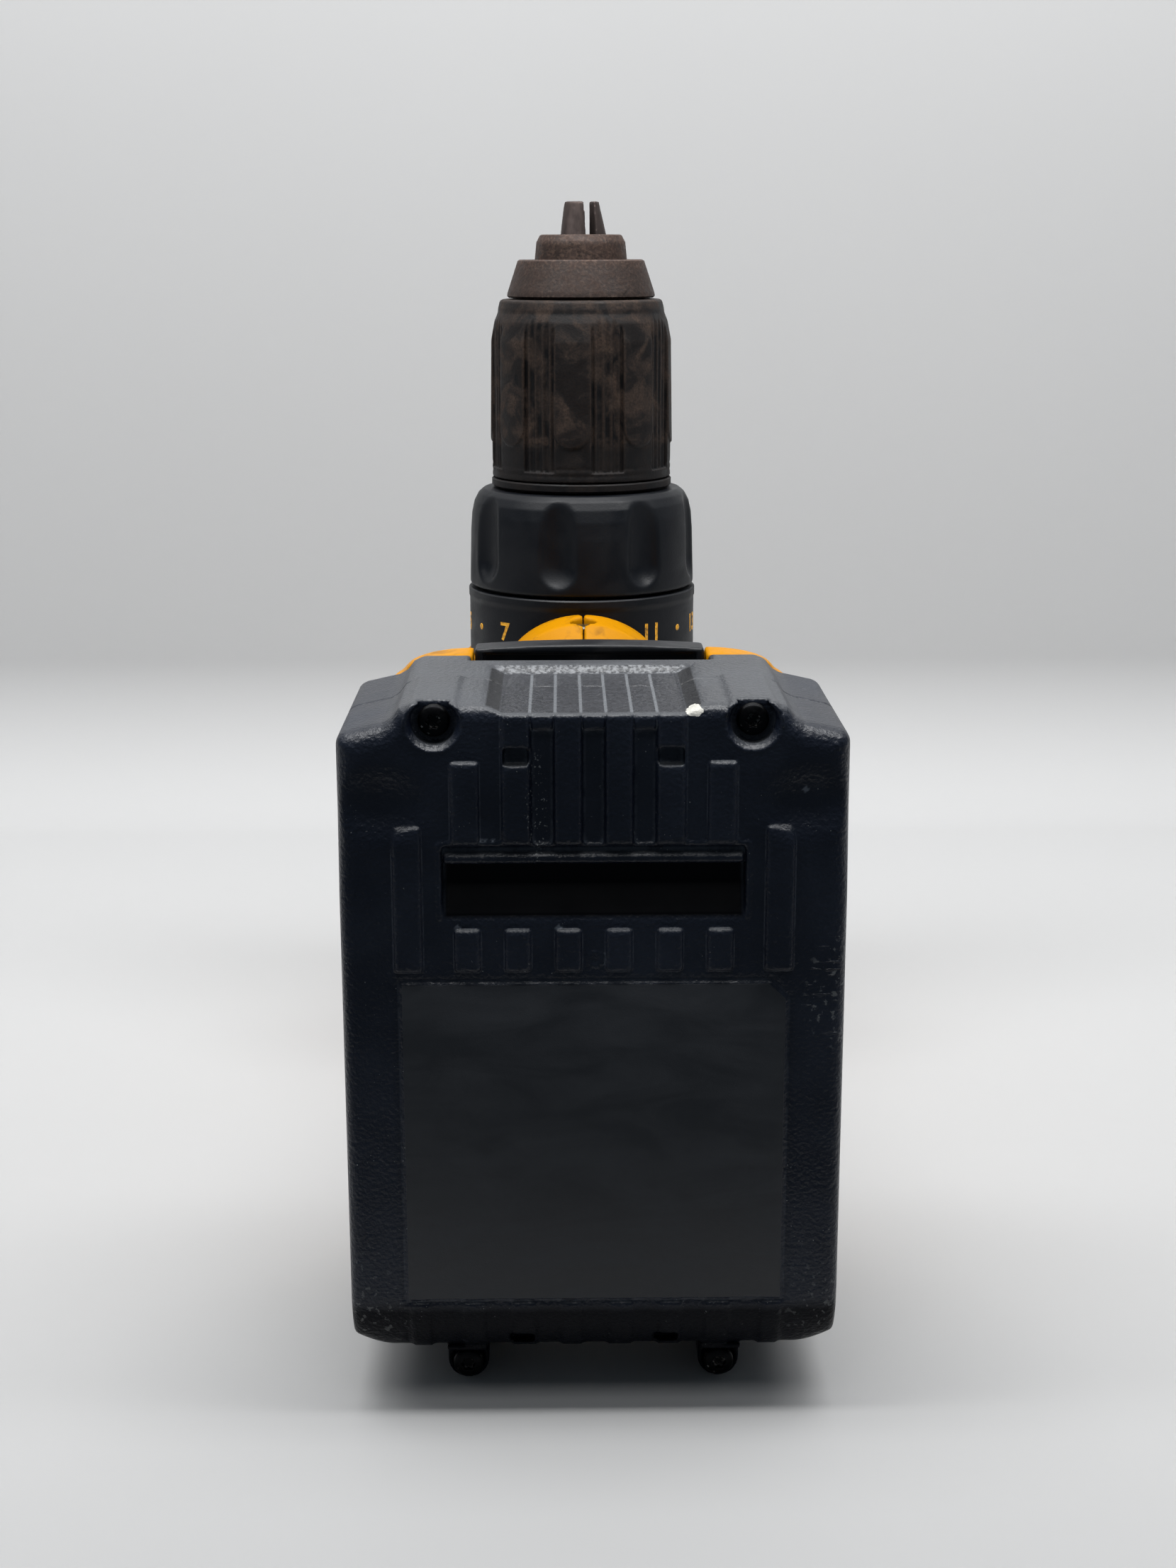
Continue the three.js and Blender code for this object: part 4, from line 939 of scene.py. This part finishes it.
def chuck_sleeve():
    f = Field((-22.6, -22.6, 136.8), (22.6, 22.6, 179.0), FINE_STEP)
    outer = revolved(f, [(0, 137.5), (21.1, 137.5), (21.5, 137.9), (21.4, 144), (21.3, 150), (21, 169),
                         (20.2, 173.2), (19.4, 175.2), (19.3, 176.2), (18.9, 177.8), (18.3, 178.2),
                         (0, 178.2)])
    across = f.across
    angle = np.degrees(np.arctan2(f.x, -f.y))
    sector = np.mod(angle - 16.5 + 22.5, 45) - 22.5
    arc_length = np.radians(np.abs(sector)) * 21.0
    arch = np.sqrt(arc_length**2 + np.maximum(f.z - 170.6, 0)**2) - 3.9
    pad_gap = np.radians(22.5 - np.abs(sector)) * 21.0
    pad = np.sqrt(pad_gap**2 + np.maximum(149.6 - f.z, 0)**2) - 4.3
    groove = np.maximum(arch, 139.8 - f.z)
    ribs = 0.24 * np.cos(np.radians(sector) * 21.0 * 2 * math.pi / 1.9)
    floor = (1.05 + ribs) - (21.3 - across)
    outer = cut(outer, np.maximum(groove, -floor), 0.35)
    band = np.maximum(np.maximum(-pad, f.z - 151), 21.0 - across)
    outer = cut(outer, band, 0.2)
    for z in (139.0, 140.6):
        outer = cut(outer, np.maximum(np.abs(f.z - z) - 0.28, -(across - 20.9)), 0.2)
    bore = across - np.where(f.z < 139.3, 19.6, 18.4 - 0.71 * np.clip(f.z - 172.4, 0, 6))
    obj = mesh_from_field("chuck_sleeve", f, cut(outer, bore, 0.3))
    return place(obj, "sleeve", M["sleeve"], ["chuck_sleeve"])


def chuck_metal():
    cap = spun("chuck_front_cap", [(11.3, 178.5), (16.8, 178.5), (17.2, 178.9), (17.1, 179.6),
                                   (14.7, 186.8), (14.2, 187.1), (11.3, 187.1)], 128, 25)
    place(cap, "spindle", M["rusty"], ["chuck_front_cap"])
    nose = spun("chuck_nose", [(10.85, 177.7), (10.95, 178.0), (10.75, 186.6), (10.3, 191), (9.5, 192.5),
                               (9.1, 192.7), (7.9, 192.7), (7.9, 177.7)], 128, 25)
    place(nose, "spindle", M["rusty"])
    rear = spun("chuck_rear_ring", [(12.5, 135.2), (20.8, 135.2), (21.2, 135.6), (21.2, 136.9),
                                    (20.9, 137.2), (12.5, 137.2)], 96, 30)
    place(rear, "spindle", M["sleeve"], ["chuck_rear_ring"])
    nut = spun("jaw_nut", [(12.5, 166.4), (18, 166.4), (18, 171.6), (12.5, 171.6)], 96, 30)
    place(nut, "sleeve", M["steel"], ["jaw_nut"])


def chuck_jaw(index):
    """One jaw: a slanted bar whose inner side is ground to a wedge with a flat that meets the bit."""
    f = Field((-1, -8, 157), (20, 8, 201), FINE_STEP)
    tilt = math.radians(13)
    offset = (f.x - (0.6 + (200 - f.z) * math.tan(tilt))) * math.cos(tilt)
    bar = np.sqrt(offset**2 + f.y**2) - 3.5
    spread = (np.abs(f.y) - math.sqrt(3) * (f.x - 1.5)) * 0.5
    ends = np.maximum(f.z - 200.1, 158 - f.z)
    body = smooth_max(np.maximum(bar, spread), np.maximum(2.0 - f.x, ends), 0.3)
    obj = mesh_from_field(f"jaw_{index + 1}_looks", f, body, 0.05)
    obj.data.transform(Matrix.Rotation(math.radians(120 * index), 4, "Z"))
    return place(obj, f"jaw_{index + 1}", M["jaw"], [f"jaw_{index + 1}"])


# ---- housing --------------------------------------------------------------------------------------
HANDLE = np.array([  # y, half width, rear z, front z, squareness
    (-145.8, 38.4, 12, 121, 8), (-138, 38, 12, 121, 7), (-130, 33, 15, 112, 4.5), (-122, 25, 24, 96, 3),
    (-112, 18.5, 29, 82, 2.5), (-92, 17, 29, 74, 2.4), (-62, 16.5, 26, 69, 2.4), (-42, 17, 23, 72, 2.4),
    (-30, 19, 21, 78, 2.3), (-18, 24, 20, 82, 2.2)])
CHIN = np.array([
    (-44, 14, 73, 99, 2), (-42, 17.5, 70, 104.8, 2), (-38, 20, 68.5, 108.1, 2), (-31, 20.5, 67.7, 108.7, 2),
    (-24, 21, 66, 108.2, 2)])
HOUSING_SCREWS = ((-33, 24), (-33, 88), (-80, 38), (-106, 62), (-124.5, 30), (-124.5, 86))


def lofted(f, sections):
    """Radial distance to superellipse sections that change along Y."""
    y = f.y[0, :, 0]
    half, rear, front, power = (np.interp(y, sections[:, 0], sections[:, i])[None, :, None]
                                for i in (1, 2, 3, 4))
    middle, depth = (rear + front) / 2, (front - rear) / 2
    level = (np.abs(f.x / half)**power + np.abs((f.z - middle) / depth)**power)**(1 / power)
    reach = np.sqrt(f.x**2 + (f.z - middle)**2)
    radial = reach * (1 - 1 / np.maximum(level, 1e-3))
    ends = np.maximum(sections[0, 0] - f.y, f.y - sections[-1, 0])
    return smooth_max(np.maximum(radial, -12), ends, 1.0)


def grip_plan(f):
    """Where the rubber lies: all of the lower handle and the back of the upper handle."""
    lower = flat_box(f.y, f.z, (-114, -76), (0, 110), 2.0)
    back = flat_box(f.y, f.z, (-112, -47), (0, 57), 2.0)
    return smooth_min(lower, back, 5.0)


def housing_solid(f):
    barrel = revolved(f, [(0, 14.3), (30.7, 14.3), (31, 14.6), (31, 62), (28.1, 95.0),
                          (27.5, 95.6), (0, 95.6)])
    handle = lofted(f, HANDLE)
    chin = lofted(f, CHIN)
    return smooth_min(smooth_min(barrel, handle, 6.0), chin, 2.5), handle


def housing_openings(f):
    """Everything cut out of the housing apart from its inside: slots, holes and the rail channel."""
    cuts = [
        np.maximum(f.across - 27.4, 95.6 - f.z),
        rounded_box(f, (-16.4, 16.4), (-148, -139), (28, 128)),
        rounded_box(f, (-20.4, 20.4), (-139.1, -131.6), (28, 128)),
        rounded_box(f, (-20.4, 20.4), (-148, -131.6), (108.9, 128)),
        rounded_box(f, (-12, 12), (-133, -126), (36, 50)),
        rounded_box(f, (-7.4, 7.4), (-70.7, -44.6), (58, 100)),
        rounded_box(f, (-30, 30), (-43.1, -35.9), (57.9, 65.1)),
        rounded_box(f, (-4.3, 4.3), (20, 36), (55, 77)),
        np.maximum(disc(f.x, f.y, (0, -35), 2.9), 103 - f.z),
        np.maximum(disc(f.y, f.z, (-138, 66), 2.0), 33 - np.abs(f.x)),
    ]
    shoulder = [(28.9, 121), (30.6, 120.4), (31.9, 118.4), (33, 117), (34.5, PACK_SHOULDER),
                (48, PACK_SHOULDER), (48, 130), (28.9, 130)]
    corner = polygon(np.abs(f.x[:, 0]), f.z[0], shoulder)[:, None, :]
    cuts.append(np.maximum(corner, f.y + 118))
    for y, z in HOUSING_SCREWS:
        hole = disc(f.y, f.z, (y, z), 3.9)
        cuts.append(np.maximum(hole, 9 - f.x))
        cuts.append(disc(f.y, f.z, (y, z), 2.2))
    result = np.broadcast_to(cuts[0], np.broadcast_shapes(f.x.shape, f.y.shape, f.z.shape)).copy()
    for one in cuts[1:]:
        np.minimum(result, one, out=result)
    return result


def housing_half(side):
    """One moulded half with its rubber grip."""
    name = "left" if side > 0 else "right"
    low, high = (-0.6, 39.8) if side > 0 else (-39.8, 0.6)
    f = Field((low, -147.2, 11.2), (high, 32.6, 122.4), HOUSING_STEP)
    solid, handle = housing_solid(f)
    hook_pad = rounded_box(f, sorted((side * 30, side * 38.6)), (-144, -132), (58, 86), 0.6)
    solid = np.minimum(solid, hook_pad)
    cavity = np.maximum(solid + HOUSING_WALL, -(f.y + 128.8))
    bosses = np.minimum.reduce([disc(f.y, f.z, screw, 4.3) for screw in HOUSING_SCREWS])
    cavity = cut(cavity, np.maximum(bosses, 24.4 - f.across), 0.3)
    body = cut(cut(solid, cavity, 0.3), np.maximum(f.across - 23.2, 10 - f.z), 0.3)
    plan = grip_plan(f)
    body = cut(body, np.maximum(plan - 0.15, -(handle + 1.75)), 0.35)
    body = cut(body, housing_openings(f), 0.45)
    body = smooth_max(body, SEAM - side * f.x, 0.5)
    obj = mesh_from_field(f"housing_{name}", f, body)
    place(obj, "housing", M["yellow"], [f"housing_{name}"])

    grip = smooth_max(np.maximum(handle, -(handle + 1.6)), plan + 0.05, 0.7)
    if side > 0:
        holes = np.minimum.reduce([disc(f.y, f.z, screw, 4.4) for screw in HOUSING_SCREWS])
        grip = cut(grip, holes, 0.4)
    grip = smooth_max(grip, SEAM - side * f.x, 0.4)
    obj = mesh_from_field(f"grip_{name}", f, grip)
    place(obj, "housing", M["rubber"], [f"grip_{name}"])


def rear_cap():
    f = Field((-32, -32, -1.4), (32, 32, 15.4), TOP_STEP)
    cup = revolved(f, [(0, 0), (22, 0), (27.2, 2), (30.2, 5.6), (31, 10), (31, 14), (28.4, 14), (28.4, 10),
                       (26, 5), (23, 2.6), (0, 2.6)])
    seat = np.maximum(np.abs(f.across - 6.9) - 1.1, slab(f.z, 2.0, 10))
    cup = np.minimum(cup + FOOT_GAP, seat)
    for i in range(6):
        a = math.radians((i - 2.5) * 20 + 90)
        sideways = f.y * math.cos(a) - f.x * math.sin(a)
        outward = f.x * math.cos(a) + f.y * math.sin(a)
        vent = np.maximum(np.maximum(np.abs(sideways) - 1.6, slab(f.z, 6.3, 11.7)), 24 - outward)
        cup = cut(cup, vent, 0.4)
    obj = mesh_from_field("rear_cap", f, cup)
    place(obj, "housing", M["black"], ["rear_cap"])


def controls():
    f = Field((-8, -71, 52), (8, -44.6, 86), FINE_STEP)
    face = [(-46, 62), (-46, 84), (-49.2, 81.2), (-53, 78.6), (-57.5, 77.4), (-62.5, 77.6), (-66.6, 78.9),
            (-69.5, 80.5), (-69.5, 62)]
    trigger = smooth_max(polygon(f.y[0], f.z[0], face)[None, :, :], np.abs(f.x) - 6.9, 2.4)
    trigger = cut(trigger, np.maximum(disc(f.x, f.y, (0, -62), 4.0), f.z - 69.5), 0.2)
    stem = rounded_box(f, (-2.5, 2.5), (-52, -48), (53, 64), 0.4)
    obj = mesh_from_field("trigger", f, np.minimum(trigger, stem))
    place(obj, "trigger", M["black"], ["trigger"])

    f = Field((-22, -44, 57), (22, -35, 66), FINE_STEP)
    knobs = np.minimum(rounded_box(f, (18.5, 21), (-42.7, -36.3), (58.3, 64.7), 0.9),
                       rounded_box(f, (-21, -18.5), (-42.7, -36.3), (58.3, 64.7), 0.9))
    lever = np.minimum(rounded_box(f, (-19.5, 19.5), (-42.1, -36.9), (58.9, 64.1), 0.4), knobs)
    obj = mesh_from_field("direction_lever", f, lever)
    place(obj, "direction_lever", M["black"], ["direction_lever"])

    f = Field((-8, 26, 59), (8, 35.4, 77), FINE_STEP)
    plate = np.minimum(rounded_box(f, (-7, 7), (31.4, 33.6), (60, 76), 0.8),
                       rounded_box(f, (-4, 4), (27, 32.4), (64, 72), 0.3))
    for z in (64, 68, 72):
        plate = smooth_min(plate, rounded_box(f, (-6, 6), (33.1, 34.4), (z - 0.8, z + 0.8), 0.5), 0.4)
    obj = mesh_from_field("speed_selector", f, plate)
    place(obj, "speed_selector", M["black"], ["speed_selector"])

    lens = spun("led_lens", [(0, 104.4), (2.6, 104.4), (2.6, 106.8), (2.2, 107.2), (0, 107.4)], 64, 30)
    lens.data.transform(Matrix.Translation((0, -35 * MM, 0)))
    place(lens, "housing", M["lens"], ["led_lens"])


def housing_screws():
    """Six heads down their holes on the left side, facing +X."""
    for i, (y, z) in enumerate(HOUSING_SCREWS):
        f = Field((-1, -4.3, -4.3), (4, 4.3, 4.3), SCREW_STEP)
        across = np.sqrt(f.y**2 + f.z**2)
        turn = np.arctan2(f.z, f.y)
        head = smooth_max(across - 3.3, np.maximum(f.x - (2.65 - across**2 / 18), -f.x), 0.5)
        socket = across - (1.45 + 0.2 * np.cos(6 * turn))
        head = cut(head, np.maximum(socket, 1.2 - f.x), 0.15)
        obj = mesh_from_field(f"housing_screw_head_{i + 1}", f, head)
        obj.data.transform(Matrix.Translation(Vector((9.3, y, z)) * MM))
        place(obj, "housing", M["screw"], [f"housing_screw_{i + 1}"])


# ---- carried over from the CAD model --------------------------------------------------------------
INNER_FINISHES = {
    "steel": ("rear_bearing", "motor_pinion", "ring_gear", "carrier_1", "spindle", "spindle_bearing",
              "clutch_spring", "trigger_spring", "button_spring"),
    "screw": ("motor_can", "chuck_screw"),
    "rusty": ("chuck_body",),
    "black": ("switch_body", "terminal_block", "motor_fan"),
    "cast": ("gearcase",),
    "copper": ("armature",),
    "white": ("brush_card", "cell_holder_left", "cell_holder_right"),
    "cell": ("cell_row_lower", "cell_row_upper"),
    "board": ("battery_board",),
}


def finish_inner_nodes():
    finishes = {node: key for key, nodes in INNER_FINISHES.items() for node in nodes}
    for node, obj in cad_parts.items():
        key = "steel" if node.startswith("planet") else finishes.get(node)
        if key:
            obj.data.materials.clear()
            obj.data.materials.append(M[key])


# ---- setting and light ----------------------------------------------------------------------------
def sweep():
    """A board that lies flat in front and curves up behind."""
    front, bend_start, bend_radius, wall_top = -0.25, 0.185, 0.05, 2.2
    path = [(front, 0.0), (-0.1, 0.0), (bend_start, 0.0)]
    path += [(bend_start + bend_radius * math.sin(a), bend_radius * (1 - math.cos(a)))
             for a in np.radians(np.linspace(4, 90, 30))]
    path.append((bend_start + bend_radius, wall_top))
    width = 1.6
    points, faces = [], []
    for y, z in path:
        points += [(-width, y, z - 0.0002), (width, y, z - 0.0002)]
    for i in range(len(path) - 1):
        faces.append((2 * i, 2 * i + 1, 2 * i + 3, 2 * i + 2))
    obj = new_mesh_object("sweep", points, faces)
    shade_smooth(obj)
    obj.data.materials.append(M["sweep"])


def area_light(name, place_at, aim_at, size, power, colour=(1, 1, 1)):
    data = bpy.data.lights.new(name, "AREA")
    data.shape = "RECTANGLE"
    data.size, data.size_y = size
    data.energy = power
    data.color = colour
    obj = bpy.data.objects.new(name, data)
    bpy.context.collection.objects.link(obj)
    direction = Vector(aim_at) - Vector(place_at)
    obj.rotation_euler = direction.to_track_quat("-Z", "Y").to_euler()
    obj.location = place_at


def lights():
    area_light("overhead", (0, 0.3, 1.8), (0, 0.05, 0), (1.4, 0.9), 38)
    area_light("wall", (0, -0.2, 0.72), (0, 0.235, 0.44), (1.2, 0.25), 12)
    area_light("front", (0, -0.7, 1.2), (0, -0.1, 0.08), (0.7, 0.4), 3)
    world = bpy.data.worlds.new("world")
    world.use_nodes = True
    world.node_tree.nodes["Background"].inputs["Color"].default_value = (0.7, 0.85, 1.0, 1)
    world.node_tree.nodes["Background"].inputs["Strength"].default_value = 0.14
    bpy.context.scene.world = world
    view = bpy.context.scene.view_settings
    view.view_transform = "Standard"
    view.look = "None"


def soften(obj, width):
    """A small bevel on every sharp edge, in millimetres."""
    work = bmesh.new()
    work.from_mesh(obj.data)
    bmesh.ops.bevel(work, geom=work.edges[:], offset=width * MM, segments=2, profile=0.6,
                    affect="EDGES", clamp_overlap=True)
    work.to_mesh(obj.data)
    work.free()
    shade_smooth(obj, 40)


make_camera()
battery_base()
label_face()
battery_top()
release_button()
pack_screws()
clutch_collar()
dial_ring()
dial_marks()
chuck_sleeve()
chuck_metal()
for jaw_index in range(3):
    chuck_jaw(jaw_index)
for half_side in (1, -1):
    housing_half(half_side)
rear_cap()
controls()
housing_screws()
finish_inner_nodes()
sweep()
lights()
